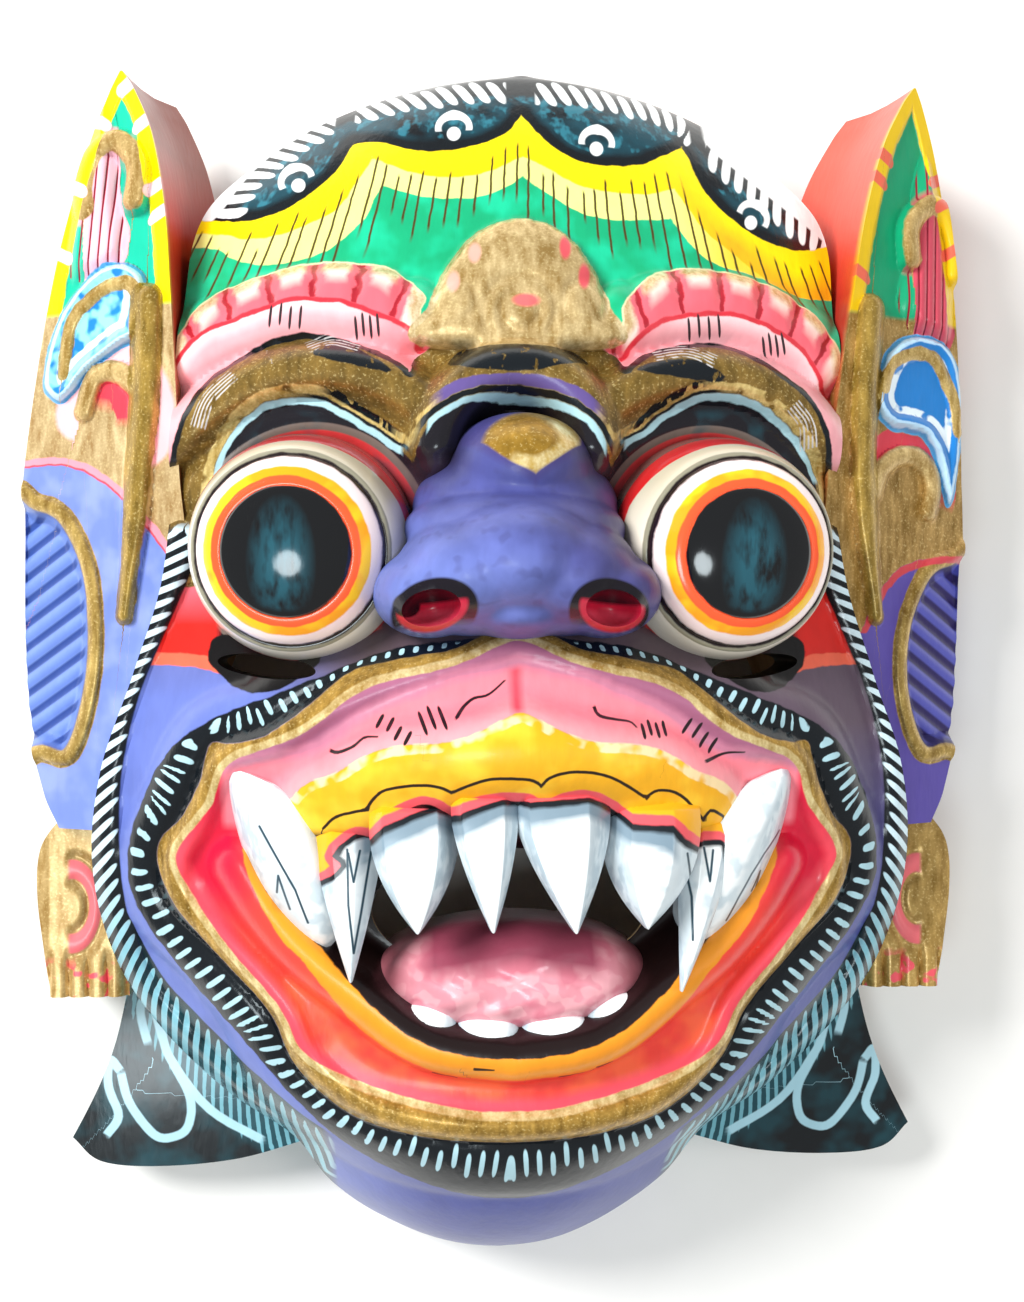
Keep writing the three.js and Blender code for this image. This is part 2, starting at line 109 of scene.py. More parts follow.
def profile(rows, column):
    """A smooth function through rows of (at, value, ...)."""
    rows = np.array(sorted(rows), float)
    at, value = rows[:, 0], rows[:, column]
    slope = np.empty_like(value)
    slope[1:-1] = (value[2:] - value[:-2]) / (at[2:] - at[:-2])
    slope[0] = (value[1] - value[0]) / (at[1] - at[0])
    slope[-1] = (value[-1] - value[-2]) / (at[-1] - at[-2])

    def read(position):
        i = np.clip(np.searchsorted(at, position) - 1, 0, len(at) - 2)
        gap = at[i + 1] - at[i]
        t = np.clip((position - at[i]) / gap, 0, 1)
        a, b = t * t * (3 - 2 * t), t * (1 - t)
        return value[i] * (1 - a) + value[i + 1] * a + gap * b * (slope[i] * (1 - t) - slope[i + 1] * t)

    return read


def ease(low, high, value):
    """0 below low, 1 above high and smooth between."""
    t = np.clip((value - low) / (high - low), 0, 1)
    return t * t * (3 - 2 * t)


def softer_max(a, b, blend):
    """The higher of two surfaces, with the crease between them rounded."""
    return (a + b + np.sqrt((a - b) ** 2 + blend**2)) / 2


def ridge(distance, width, height, power=0.5):
    """The cross section of a round ridge of a half width, which falls away steeply beside it."""
    body = height * np.clip(1 - (distance / width) ** 2, 0, 1) ** power
    return body - 2.5 * np.maximum(np.abs(distance) - width, 0)


# %% [markdown]
# ## The block of the face
# The block is widest at the cheeks, and rises from its edge to the middle of the face. It is
# described by rows from crown to chin: the height up the face, the half width, and how far the middle
# and the edge stand out. A surface through those rows is the ground that all the carving stands on.

# %% The block and its carved features
HEAD = [
    (129.5, 3, 30, 28), (127.5, 18, 33, 28), (121, 37, 39, 29), (112, 52, 45, 30), (98, 66, 51, 33),
    (78, 69, 57, 38), (50, 69, 63, 45), (20, 70, 66, 50), (0, 76, 71, 48), (-20, 83, 74, 45),
    (-40, 85.5, 71, 40), (-60, 81.5, 69, 34), (-76, 72, 67, 30), (-90, 59, 63, 26), (-102, 45, 54, 22),
    (-114, 36.5, 44, 17), (-124, 23, 30, 13), (-129.98, 6, 13, 11),
]
half_width, ridge_height, edge_height = (profile(HEAD, column) for column in (1, 2, 3))
EYE = (40.4, 25.6)
LIP_RIM = [
    (0, 6.4), (13.7, 3), (25.5, -0.8), (37, -6.2), (47, -12.8), (56.5, -16.4), (62, -27.5), (67.4, -38),
    (66, -46), (57, -54), (45.8, -66), (40.4, -77.5), (30, -86), (17, -89.2), (0, -90.4),
]
UPPER_GUM = [(0, -16), (14, -17.4), (27, -21), (36, -26)]
MOUTH_DEPTH = 10.0
LOWER_GUM = [(0, -75.6), (17.5, -72.6), (32, -62.6), (42, -55), (49.6, -46.6), (55, -38)]
ROPE_BAND = [
    (66, 28), (69, 19.4), (73.9, 8), (78.7, -3.7), (82.2, -18.6), (83.2, -33.7), (82, -50), (77.2, -65.4),
    (70.1, -75.5), (59.6, -87.9), (48.3, -98.3), (36, -106),
]
ROPE_PITCH = 3.4
BOSS = [(0, 92.4), (8.4, 89.6), (14.8, 81.6), (17.9, 73), (19, 65.6)]


def both_halves(half):
    """A whole closed outline from its half with x from 0 up."""
    return half + [(-x, y) for x, y in half[::-1] if x > 0]


def block_height(x, y):
    """The plain block: its swell, the muzzle and the eye sockets."""
    across = np.clip(np.abs(x) / half_width(y), 0, 1)
    muzzle = 13 * np.exp(-((x / 46) ** 2) - ((y + 10) / 19) ** 2)
    socket = 7 * np.exp(-(((np.abs(x) - EYE[0]) / 22.5) ** 2) - ((y - EYE[1]) / 22.5) ** 2)
    return edge_height(y) + (ridge_height(y) - edge_height(y)) * (1 - across**2.4) + muzzle - socket


def raise_arc(z, ground, x, y, middle, radius, width, height, lift, start, end, tail=0.45, blend=1.2):
    """Adds a round ridge along an arc, thinner towards its two ends, given in degrees."""
    r = np.hypot(x - middle[0], y - middle[1])
    turn = np.degrees(np.arctan2(y - middle[1], x - middle[0]))
    t = np.clip((turn - start) / (end - start), 0, 1)
    share = np.minimum(1, tail + np.sqrt(np.sin(np.pi * t)))
    a, b = math.radians(start), math.radians(end)
    inside_turn = (turn > start) & (turn < end)
    ends = [np.hypot(x - middle[0] - radius * math.cos(k), y - middle[1] - radius * math.sin(k)) for k in (a,
                                                                                                           b)]
    away = np.where(inside_turn, np.abs(r - radius), np.minimum(*ends))
    body = ground + lift + ridge(away, width * share, height * share * 1.4) - height * share * 0.4
    return softer_max(z, body, blend)


def face_height(x, y):
    """Height of the carved face, for x from its leaned middle line."""
    ax = np.abs(x)
    ground = block_height(x, y)
    z = ground.copy()
    # Brow crowns with their flame lobes, brow ridges, lids and the bridge brow.
    turn = np.degrees(np.arctan2(y - EYE[1], ax - EYE[0]))
    flames = np.abs(np.sin(np.radians((turn - 50) / 68 * 180 * 7)))
    r_eye = np.hypot(ax - EYE[0], y - EYE[1])
    crown = raise_arc(z, ground, ax, y, EYE, 49.8, 8.6, 5.6, 0.2, 50, 118, 0.5, 0.5)
    carved = (crown - z) > 0.2
    z = crown - np.where(carved, 1.5 * (1 - flames) ** 2 * ease(46, 53, r_eye), 0)
    z = raise_arc(z, ground, ax, y, EYE, 35.0, 6.9, 8.2, 0.6, 30, 141, 0.4)
    z = raise_arc(z, ground, ax, y, EYE, 25.6, 4.8, 3.6, 0, 20, 170, 0.5)
    z = raise_arc(z, ground, ax, y, (0, 44.5), 15.6, 6.2, 7.5, 5.2, -8, 188, 0.8)
    # The leaf boss, cut clean at its edge, with a round nest in the middle and curls at the sides.
    away, _ = beside(both_halves(BOSS), x, y, closed=True)
    leaf = ground + 4.4 + 3.2 * (1 - (1 - np.clip(-away / 12, 0, 1)) ** 3)
    for cx, cy, r in ((0, 72, 7.2), (0, 72, 4.0), (13.2, 74, 4.6)):
        ring = np.hypot(ax - cx, y - cy) - r
        leaf = leaf - 1.1 * np.exp(-((ring / 0.9) ** 2)) * (y > cy - 4)
    z = np.where(away < 0, np.maximum(z, leaf), z)
    # The gold rim round the mouth, the lip inside it, and the gums.
    rim, _ = beside(both_halves(LIP_RIM), x, y, closed=True)
    lip = np.where(rim < 0, -2.2 * ease(2.5, 9, -rim), 0)
    z = z + lip
    upper, _ = beside(UPPER_GUM, ax, y)
    z = softer_max(z, ground - 1.2 + ridge(upper, 10.4, 4.2, 0.6), 0.6)
    lower, _ = beside(LOWER_GUM, ax, y)
    z = z - MOUTH_DEPTH * ease(1, 6, lower) * ease(-31, -38, y) * ease(48, 42, ax)
    z = softer_max(z, ground - 1.6 + ridge(lower, 5.2, 6.4), 0.6)
    z = softer_max(z, ground - 0.4 + ridge(rim, 3.4, 3.3, 0.6), 0.4)
    # The beard band outside the rim, and the rope band down the edge of the face.
    beard = rim - (8.2 + 2.6 * ease(-60, -95, y))
    wide = 4.4 + 2.4 * ease(-60, -95, y)
    z = softer_max(z, ground - 4 * ease(0, 6, y) + ridge(beard, wide, 2.7, 0.6), 0.4)
    rope, run = beside(ROPE_BAND, ax, y)
    twist = 0.35 * np.cos((run - rope * 0.95) * 2 * math.pi / ROPE_PITCH)
    fade = ease(-109, -88, y)
    z = softer_max(z, ground - 2 * (1 - fade) + ridge(rope, 4.2, (3.6 + twist) * fade, 0.6), 0.4)
    return z


print("height of the bridge of the nose, brow and cheek in mm:", face_height(
    np.array([0.0, 42, 70]), np.array([60.0, 61, -20])).round(1))

# %% [markdown]
# ## Meshes from grids and rings
# Two kinds of start serve every piece. A grid is laid over an area and each vertex is lifted to its
# height, which suits relief; its edge is then pulled down to the wood behind and closed. A ring of
# vertices is pushed out step by step, which suits teeth, tusks and the tongue. Both give closed
# bodies that face outwards.

# %% Grid and ring builders
def lean(x, y):
    """The crown leans a little to one side, as the carver left it."""
    return x + LEAN * np.clip((y - LEAN_START) / (CROWN_TOP - LEAN_START), 0, 1)


def places(bm):
    return np.array([v.co for v in bm.verts])


def put(bm, x, y, z):
    for v, place in zip(bm.verts, np.column_stack([x, y, z])):
        v.co = place


def finished(bm, name, sharp=40.0):
    """Turns a mesh in millimetres into an object in metres, shaded smooth with its sharp edges kept."""
    bmesh.ops.remove_doubles(bm, verts=bm.verts, dist=1e-4)
    bmesh.ops.recalc_face_normals(bm, faces=bm.faces)
    bmesh.ops.scale(bm, vec=(MM, MM, MM), verts=bm.verts)
    mesh = bpy.data.meshes.new(name)
    bm.to_mesh(mesh)
    bm.free()
    mesh.shade_smooth()
    mesh.set_sharp_from_angle(angle=math.radians(sharp))
    piece = bpy.data.objects.new(name, mesh)
    bpy.context.scene.collection.objects.link(piece)
    print(name, "has", sum(len(f.vertices) - 2 for f in mesh.polygons), "triangles")
    return piece


def relief(columns, rows, place, skirt, drop=1, rubs=0):
    """A grid laid by place(u, v) and rubbed down, then its edge pulled to skirt(x, y, z) and closed."""
    bm = bmesh.new()
    bmesh.ops.create_grid(bm, x_segments=columns, y_segments=rows, size=1)
    grid = places(bm)
    put(bm, *place(grid[:, 0], grid[:, 1]))
    for _ in range(rubs):
        bmesh.ops.smooth_vert(bm, verts=bm.verts, factor=0.4, use_axis_x=False, use_axis_y=False,
                              use_axis_z=True)
    edges = [e for e in bm.edges if e.is_boundary]
    for step in range(drop):
        out = bmesh.ops.extrude_edge_only(bm, edges=edges)["geom"]
        edges = [e for e in out if isinstance(e, bmesh.types.BMEdge) and e.is_boundary]
        ring = {v for e in edges for v in e.verts}
        for v in ring:
            low = Vector(skirt(*v.co))
            v.co = v.co.lerp(low, 1 / (drop - step))
    bmesh.ops.contextual_create(bm, geom=edges)
    return bm


def rings(sides, count, place):
    """A round body: a ring pushed along count steps, each vertex at place(step share, turn)."""
    bm = bmesh.new()
    edge_ring = bmesh.ops.create_circle(bm, segments=sides, radius=1, cap_ends=False)["verts"]
    turn = np.array([math.atan2(v.co.y, v.co.x) for v in edge_ring])
    edges = list(bm.edges)
    for step in range(count + 1):
        for v, at in zip(edge_ring, place(step / count, turn).tolist()):
            v.co = at
        if step == count:
            break
        out = bmesh.ops.extrude_edge_only(bm, edges=edges)["geom"]
        edges = [e for e in out if isinstance(e, bmesh.types.BMEdge)]
        link = {o: e.other_vert(o) for o in edge_ring for e in o.link_edges
                if e.other_vert(o) not in edge_ring
                and e.other_vert(o) in {v for e2 in edges for v in e2.verts}}
        edge_ring = [link[v] for v in edge_ring]
    for _ in range(2):
        ends = [e for e in bm.edges if e.is_boundary]
        if ends:
            bmesh.ops.holes_fill(bm, edges=ends, sides=0)
    return bm


# %% The face block
FACE_COLUMNS, FACE_ROWS = 220, 330


def face_place(u, v):
    """Grid rows run from chin to crown, closer together at both ends, and are as wide as the block."""
    spread = v + 0.2 * (v - v**3)
    low, high = HEAD[-1][0], HEAD[0][0]
    y = (low + high) / 2 + (high - low) / 2 * spread
    x = u * half_width(y)
    return lean(x, y), y, face_height(x, y)


face = finished(relief(FACE_COLUMNS, FACE_ROWS, face_place, lambda x, y, z: (x, y, 0), rubs=2), "mask_face")

# %% [markdown]
# ## The hollow back, the mouth and the eye slits
# The real mask is hollowed with a gouge so that it is light and can be worn, and the mouth and the
# slits under the eyes are cut right through. Cutting a finished face with simple bodies gives the same
# clean edges as a blade, so a gouged dome, an oval and two lens shapes are taken away with a Boolean.

# %% Hollow, mouth and slits
WALL, BACK_RIM = 13.0, 15.0
MOUTH = {"y": -47.5, "half_width": 28, "half_height": 13.5}
SLIT = {"x": 48.5, "y": 1.6, "half_length": 10, "half_height": 2.3, "turn": 6}


def cut_away(piece, *cutters):
    """Takes closed bodies away from a piece, one after another, and applies the cuts."""
    for cutter in cutters:
        step = piece.modifiers.new("cut", "BOOLEAN")
        step.object, step.operation, step.solver = cutter, "DIFFERENCE", "MANIFOLD"
    solid = bpy.data.meshes.new_from_object(piece.evaluated_get(bpy.context.evaluated_depsgraph_get()))
    piece.modifiers.clear()
    piece.data = solid
    for cutter in cutters:
        bpy.data.objects.remove(cutter)
    solid.shade_smooth()
    solid.set_sharp_from_angle(angle=math.radians(40))
    print(piece.name, "after cutting:", sum(len(f.vertices) - 2 for f in solid.polygons), "triangles")


def hollow_place(u, v):
    """The inside follows the face a wall's thickness below it, in shallow gouge cuts."""
    rim_share = 1 - BACK_RIM / CROWN_TOP
    y = (v * 0.99 * (HEAD[1][0] - HEAD[-2][0]) + HEAD[1][0] + HEAD[-2][0]) / 2 * rim_share
    x = u * (half_width(y / rim_share) - BACK_RIM)
    gouge = 0.5 * np.abs(np.sin(x * 0.42 + np.sin(y * 0.2))) * np.abs(np.cos(y * 0.16 + x * 0.03))
    edge = np.maximum(np.abs(u), np.abs(v)) ** 6
    z = block_height(x, y) - WALL - 10 * edge - gouge
    return lean(x, y), y, z


def oval_body(name, half_long, half_tall, low, high, x=0.0, y=0.0, turn=0.0):
    bm = bmesh.new()
    bmesh.ops.create_cone(bm, cap_ends=True, segments=64, radius1=1, radius2=1, depth=1)
    bmesh.ops.scale(bm, vec=(half_long, half_tall, high - low), verts=bm.verts)
    bmesh.ops.rotate(bm, matrix=Matrix.Rotation(math.radians(turn), 3, "Z"), verts=bm.verts)
    bmesh.ops.translate(bm, vec=(x, y, (low + high) / 2), verts=bm.verts)
    return finished(bm, name)


hollow = finished(relief(70, 120, hollow_place, lambda x, y, z: (x, y, -5)), "hollow")
mouth_cut = oval_body("mouth_cut", MOUTH["half_width"], MOUTH["half_height"], -10, 110, y=MOUTH["y"])
slit_cuts = [
    oval_body("slit_cut", SLIT["half_length"], SLIT["half_height"], -10, 110, side * SLIT["x"], SLIT["y"],
              side * SLIT["turn"])
    for side in (-1, 1)
]
cut_away(face, hollow, mouth_cut, *slit_cuts)

# %% [markdown]
# ## The bulging eyes
# Each eye is turned work in spirit: a tall dome with a disc on top, a groove round the disc and a
# rounded wall below. A short profile spun once round its axis gives exactly that, and the finished
# dome is tipped a little outwards and down, as the mask looks.

# %% Eyes
EYE_SEAT, EYE_OUT, EYE_DOWN = 54.0, math.radians(7), math.radians(5)
EYE_PROFILE = [
    (0, 31.2), (3, 31.1), (6, 30.6), (9, 29.8), (11.6, 28.8), (12.2, 28.4), (12.5, 27.9), (12.9, 28),
    (14.4, 27.2), (16, 26), (17.2, 24.8), (17.7, 24.1), (18, 23.3), (18.3, 22.6), (18.7, 22.6), (19.2, 22.2),
    (20.6, 18.6), (21.8, 13.6), (22.5, 7.7), (22.8, 0), (22.6, -9.3), (0, -9.3),
]


def eye_frame(side):
    """From the eye's own axis to the mask: tipped down, turned outwards, set in its socket."""
    turn = Matrix.Rotation(side * EYE_OUT, 4, "Y") @ Matrix.Rotation(EYE_DOWN, 4, "X")
    return Matrix.Translation((side * EYE[0], EYE[1], EYE_SEAT)) @ turn


def eye(side):
    bm = bmesh.new()
    line = [bm.verts.new((r, 0, h)) for r, h in EYE_PROFILE]
    edges = [bm.edges.new(pair) for pair in zip(line, line[1:])]
    bmesh.ops.spin(bm, geom=line + edges, cent=(0, 0, 0), axis=(0, 0, 1), angle=math.tau, steps=96,
                   use_merge=True)
    bmesh.ops.remove_doubles(bm, verts=bm.verts, dist=1e-3)
    top = max(bm.verts, key=lambda v: v.co.z).co.z
    bmesh.ops.transform(bm, matrix=eye_frame(side), verts=bm.verts)
    print("eye stands", round(top, 1), "mm out of its seat")
    return finished(bm, "eye_left" if side < 0 else "eye_right", 50)


eyes = {side: eye(side) for side in (-1, 1)}

# %% [markdown]
# ## The nose
# The nose is a broad soft form: a wide tip, two wings and the knob of the bridge, all run together
# with no seams, and two nostrils dug in. Round bodies joined by a voxel remesh and then smoothed blend
# in the same way as wood does under a rasp, which a grid of heights could not do round the overhangs.

# %% Nose
NOSE_BODIES = [
    ((0, 21.4, 74), (19, 13, 25)), ((9, 19, 75), (14.5, 11.6, 22)), ((-9, 19, 75), (14.5, 11.6, 22)),
    ((16.8, 15.6, 75), (11, 8.6, 18.5)), ((-16.8, 15.6, 75), (11, 8.6, 18.5)),
    ((1.4, 40.2, 65), (15, 11.4, 19.5)),
    ((0.6, 33, 63), (20.5, 12.6, 20)), ((0, 28, 68), (22, 9, 22)), ((0, 11.4, 77), (11, 4.6, 15)),
]
NOSTRIL = ((16.8, 12.4, 91), (5.6, 3.5, 10), 12)


def round_body(name, centre, radii, turn=0.0, fine=48):
    bm = bmesh.new()
    bmesh.ops.create_uvsphere(bm, u_segments=fine, v_segments=fine // 2, radius=1)
    bmesh.ops.scale(bm, vec=radii, verts=bm.verts)
    bmesh.ops.rotate(bm, matrix=Matrix.Rotation(math.radians(turn), 3, "Z"), verts=bm.verts)
    bmesh.ops.translate(bm, vec=centre, verts=bm.verts)
    return finished(bm, name)


def run_together(name, bodies, voxel, passes):
    """One skin round several bodies, smoothed."""
    bm = bmesh.new()
    for body in bodies:
        bm.from_mesh(body.data)
        bpy.data.objects.remove(body)
    mesh = bpy.data.meshes.new(name)
    bm.to_mesh(mesh)
    bm.free()
    piece = bpy.data.objects.new(name, mesh)
    bpy.context.scene.collection.objects.link(piece)
    skin = piece.modifiers.new("skin", "REMESH")
    skin.mode, skin.voxel_size = "VOXEL", voxel * MM
    soft = piece.modifiers.new("soft", "SMOOTH")
    soft.factor, soft.iterations = 0.5, passes
    piece.data = bpy.data.meshes.new_from_object(piece.evaluated_get(bpy.context.evaluated_depsgraph_get()))
    piece.modifiers.clear()
    piece.data.shade_smooth()
    return piece


nose = run_together("nose", [round_body("lump", *body) for body in NOSE_BODIES], 0.62, 14)
cut_away(nose, *(round_body("dug", (side * NOSTRIL[0][0], *NOSTRIL[0][1:]), NOSTRIL[1], -side * NOSTRIL[2])
                 for side in (-1, 1)))

# %% [markdown]
# ## Teeth, tusks and tongue
# Each upper tooth is a flat wedge with a blunt ridge down its front, bevelled to a point, and no two
# are alike. The tusks are curved blades that rise from the lower jaw. A ring pushed from the gum to
# the tip, drawn in step by step, makes them all; its cross section is a soft diamond.

# %% Teeth
UPPER_TEETH = [
    {"sides": (-38.5, -26), "gum": -33, "tip": (-31.8, -59.4), "z": 71, "full": 1.3,
     "facets": [(1, 0.1), (0.2, 0.9), (-0.5, 0.85), (-1, 0), (-0.6, -0.8), (0.6, -0.8)]},
    {"sides": (-28, -11.3), "gum": -29, "tip": (-19, -49.2), "z": 77, "full": 2.0,
     "facets": [(1, -0.1), (0.5, 0.9), (-0.7, 0.8), (-1, 0.1), (-0.6, -0.8), (0.6, -0.8)]},
    {"sides": (-12.6, -0.4), "gum": -26.5, "tip": (-4.8, -48.6), "z": 81, "full": 1.5,
     "facets": [(1, 0), (0.55, 0.8), (-0.7, 0.8), (-1, 0), (-0.6, -0.8), (0.6, -0.8)]},
    {"sides": (-0.6, 17.2), "gum": -26.5, "tip": (11, -49), "z": 80, "full": 1.5,
     "facets": [(1, 0), (0.5, 0.8), (-0.72, 0.75), (-1, 0), (-0.6, -0.8), (0.6, -0.8)]},
    {"sides": (16.3, 35), "gum": -29, "tip": (25.1, -48.8), "z": 76.5, "full": 2.2,
     "facets": [(1, 0.1), (0.4, 0.85), (-0.45, 0.8), (-1, -0.1), (-0.6, -0.8), (0.6, -0.8)]},
    {"sides": (32, 42.6), "gum": -33, "tip": (32.6, -62), "z": 71, "full": 1.35,
     "facets": [(1, 0), (0.5, 0.85), (-0.2, 0.95), (-1, 0.1), (-0.6, -0.8), (0.6, -0.8)]},
]
TOOTH_ROOT, TOOTH_DEEP = 8.0, 0.6


def tooth(number, form):
    left, right = form["sides"]
    middle, half = (left + right) / 2, (right - left) / 2
    root, (tip_x, tip_y) = form["gum"] + TOOTH_ROOT, form["tip"]

    def place(share, turn):
        y = root + (tip_y - root) * share
        below = np.clip((form["gum"] - y) / (form["gum"] - tip_y), 0, 1)
        wide = half * (1 - below ** form["full"]) + 0.35
        centre = middle + (tip_x - middle) * below**1.2
        deep = half * TOOTH_DEEP * (0.3 + 0.7 * wide / half)
        across, out = np.array(form["facets"]).T
        sunk = 7 * ease(form["gum"] + 2.5, form["gum"] + TOOTH_ROOT, y)
        z = form["z"] + deep * out + 1.2 * np.sin(share * math.pi) - sunk
        return np.column_stack([centre + wide * across, np.full_like(z, y), z])

    bm = rings(len(form["facets"]), 18, place)
    corners = [e for e in bm.edges if e.is_manifold and e.calc_face_angle() > math.radians(24)]
    bmesh.ops.bevel(bm, geom=corners, offset=0.3, segments=2, profile=0.5, affect="EDGES", material=-1)
    return finished(bm, f"upper_tooth_{number}", 30)


teeth = [tooth(number, form) for number, form in enumerate(UPPER_TEETH, 1)]

# %% Tusks, lower teeth and tongue
TUSK = [
    (55.8, -18.2), (55.2, -28), (51.4, -40), (45, -49.2), (37.4, -54.6), (33.4, -51), (34, -41.5),
    (36.2, -33),
    (42.2, -23.8), (49, -19.4),
]
TUSK_MIDDLE, TUSK_ROOT = (44.2, -36.5), 39.0
LOWER_TEETH = [(-17.4, -68.8, 6.6), (-5.2, -71, 6.6), (8.6, -70.8, 7.2), (21, -67, 6.8)]
LOWER_TALL, LOWER_SUNK = 4.0, 3.0
TONGUE = {"middle": (0.4, -60.4, 54), "half": (28, 11.4), "rise": 17}


def tusk(side):
    """A blade over its outline, with a long ridge that runs nearer its outer edge."""
    outline = smooth_line(TUSK, closed=True, steps=8)[:-1]
    angle = np.arctan2(outline[:, 1] - TUSK_MIDDLE[1], outline[:, 0] - TUSK_MIDDLE[0])
    order = np.argsort(angle)

    def place(share, turn):
        x = np.interp(turn, angle[order], outline[order, 0], period=math.tau)
        y = np.interp(turn, angle[order], outline[order, 1], period=math.tau)
        out = 1 - share
        x, y = TUSK_MIDDLE[0] + (x - TUSK_MIDDLE[0]) * out, TUSK_MIDDLE[1] + (y - TUSK_MIDDLE[1]) * out
        z = block_height(x, y) - 1 + 8.4 * (1 - out**2) ** 0.7
        return np.column_stack([side * x, y, z if share > 0 else np.full_like(x, TUSK_ROOT)])

    return finished(rings(80, 18, place), "tusk_left" if side < 0 else "tusk_right", 45)


def lower_tooth(number, x, y, half):
    def place(share, turn):
        up = share * math.pi
        wide = half * np.sin(up) ** 0.6
        z = block_height(np.array([x]), np.array([y]))[0] - LOWER_SUNK
        return np.column_stack([x + wide * np.cos(turn), y - LOWER_TALL * np.cos(up) + 0.0 * turn,
                                z + 5.0 * np.sin(up) ** 0.7 * np.sin(turn)])

    return finished(rings(28, 18, place), f"lower_tooth_{number}", 50)


def tongue():
    """A broad tongue, a little hollow down its middle, marked with flat knife cuts."""
    (mx, my, mz), (half_x, half_y), rise = TONGUE["middle"], TONGUE["half"], TONGUE["rise"]

    def place(share, turn):
        up = share * math.pi / 2
        wide = np.cos(up) ** 0.8 if share < 1 else 0.0
        x, y = half_x * wide * np.cos(turn), half_y * wide * np.sin(turn)
        cuts = 0.55 * np.sin(x * 0.55 + 1.3 * np.sin(y * 0.6)) * np.cos(y * 0.5 + x * 0.1)
        dip = 1.6 * np.exp(-((x / 9) ** 2) - ((y - 1) / 8) ** 2)
        return np.column_stack([mx + x, my + y,
                                mz + rise * np.sin(up) ** 0.8 + (cuts - dip) * np.sin(up) - 9 * (share == 0)])

    return finished(rings(96, 34, place), "tongue", 30)


teeth += [tusk(-1), tusk(1)] + [lower_tooth(n, *row) for n, row in enumerate(LOWER_TEETH, 1)]
tongue = tongue()

# %% [markdown]
# ## Ears, ear lobes and beard tufts
# An ear is a tall leaf whose front slopes back to its outer edge. A lotus petal, a cap over its tip, a
# scroll, a flower curl and a long drop stand out of it, and the shell of the ear is dug in below. The
# carver set the same motifs a little higher on the viewer's left, so each side has its own lines.

# %% Ears
EAR_INNER = [(-33, 79), (-6, 78), (16, 66), (41, 67), (57, 68.5), (79, 71), (96, 73.2), (112, 77),
             (122, 81.6), (126, 84.3)]
EAR_OUTER = [(-33, 94), (-26, 97.6), (-6, 102.4), (33, 103), (60, 101), (88, 97), (111, 91), (122, 86.8),
             (126, 84.7)]
EAR_COLUMNS, EAR_ROWS = 90, 300
ear_inner, ear_outer = profile(EAR_INNER, 1), profile(EAR_OUTER, 1)
SHELL = [(106, 30), (99, 30.5), (92.5, 27), (87, 16), (85.8, 2), (88, -10), (92, -17.5), (98, -17),
         (106, -15)]
DROP = [(76, 77), (75.4, 60), (75.8, 44), (77, 28), (79, 12)]
EAR_LINES = {
    1: {
        "lotus": [(88.4, 113.5), (85.2, 105), (84.7, 91.7), (82.6, 80), (85.9, 73.3), (91.6, 71.8),
                  (97.8, 71.5),
                  (98.6, 82.7), (92.8, 106)],
        "cap": [(85.4, 89), (84.8, 95), (86.6, 98.6), (90.1, 101), (93.8, 99.5), (96.6, 93.7), (97.4, 87.2)],
        "scroll": [(86, 72.6), (82, 70.4), (79, 65.9), (77.2, 59.9), (78.5, 55.1), (82.4, 52.2), (87, 51.8),
                   (91.2, 50.8), (94.8, 46.3), (96.7, 40.2), (98.5, 36.5), (100.2, 38.2), (101.6, 46.2),
                   (101.8, 56.3), (101, 63), (99, 69), (95.2, 72.3), (90.1, 73.2)],
        "wave": [(79.8, 60.6), (80.9, 64.6), (84.3, 67.6), (88.9, 68.8), (93.2, 67.6), (96.2, 63.5),
                 (98.8, 58.2),
                 (100, 52.7)],
        "flower": [(78.6, 38.6), (80.6, 43.4), (84.6, 46.3), (89.2, 46.7), (92.9, 44.4), (94.5, 40.1),
                   (93.3, 35.1)],
        "shift": -5.5,
    },
    -1: {
        "lotus": [(87.8, 121), (84, 112), (83.2, 100), (80.6, 90), (83, 84), (88.5, 82), (94, 83), (96, 90),
                  (92, 112)],
        "cap": [(79.9, 98), (79.5, 104.1), (81.6, 108.5), (85.3, 110.8), (89.2, 108.8), (91.3, 103.9),
                (91.1, 97.2)],
        "scroll": [(76, 79), (77.8, 83.3), (82.5, 85.6), (88.1, 84.2), (93.7, 79), (97.6, 71), (99, 61),
                   (95, 56.9),
                   (91.5, 58.8), (88.2, 62.7), (81.5, 67.3), (77.2, 69.9)],
        "wave": [(94, 63), (92.9, 72.6), (89.4, 77.5), (84.5, 80.4), (79.9, 80.5), (77.5, 77.1)],
        "flower": [(89.1, 55), (87, 61.5), (82.5, 62.8), (77.8, 59.7), (75.2, 54.3), (75.4, 48.2)],
        "shift": 5.5,
    },
}


def shell_line(side):
    """The rim of the shell starts higher on the viewer's left ear and ends level on both."""
    shift = EAR_LINES[side]["shift"]
    return [(x, y + shift * np.clip((y + 18) / 36, 0, 1)) for x, y in SHELL]


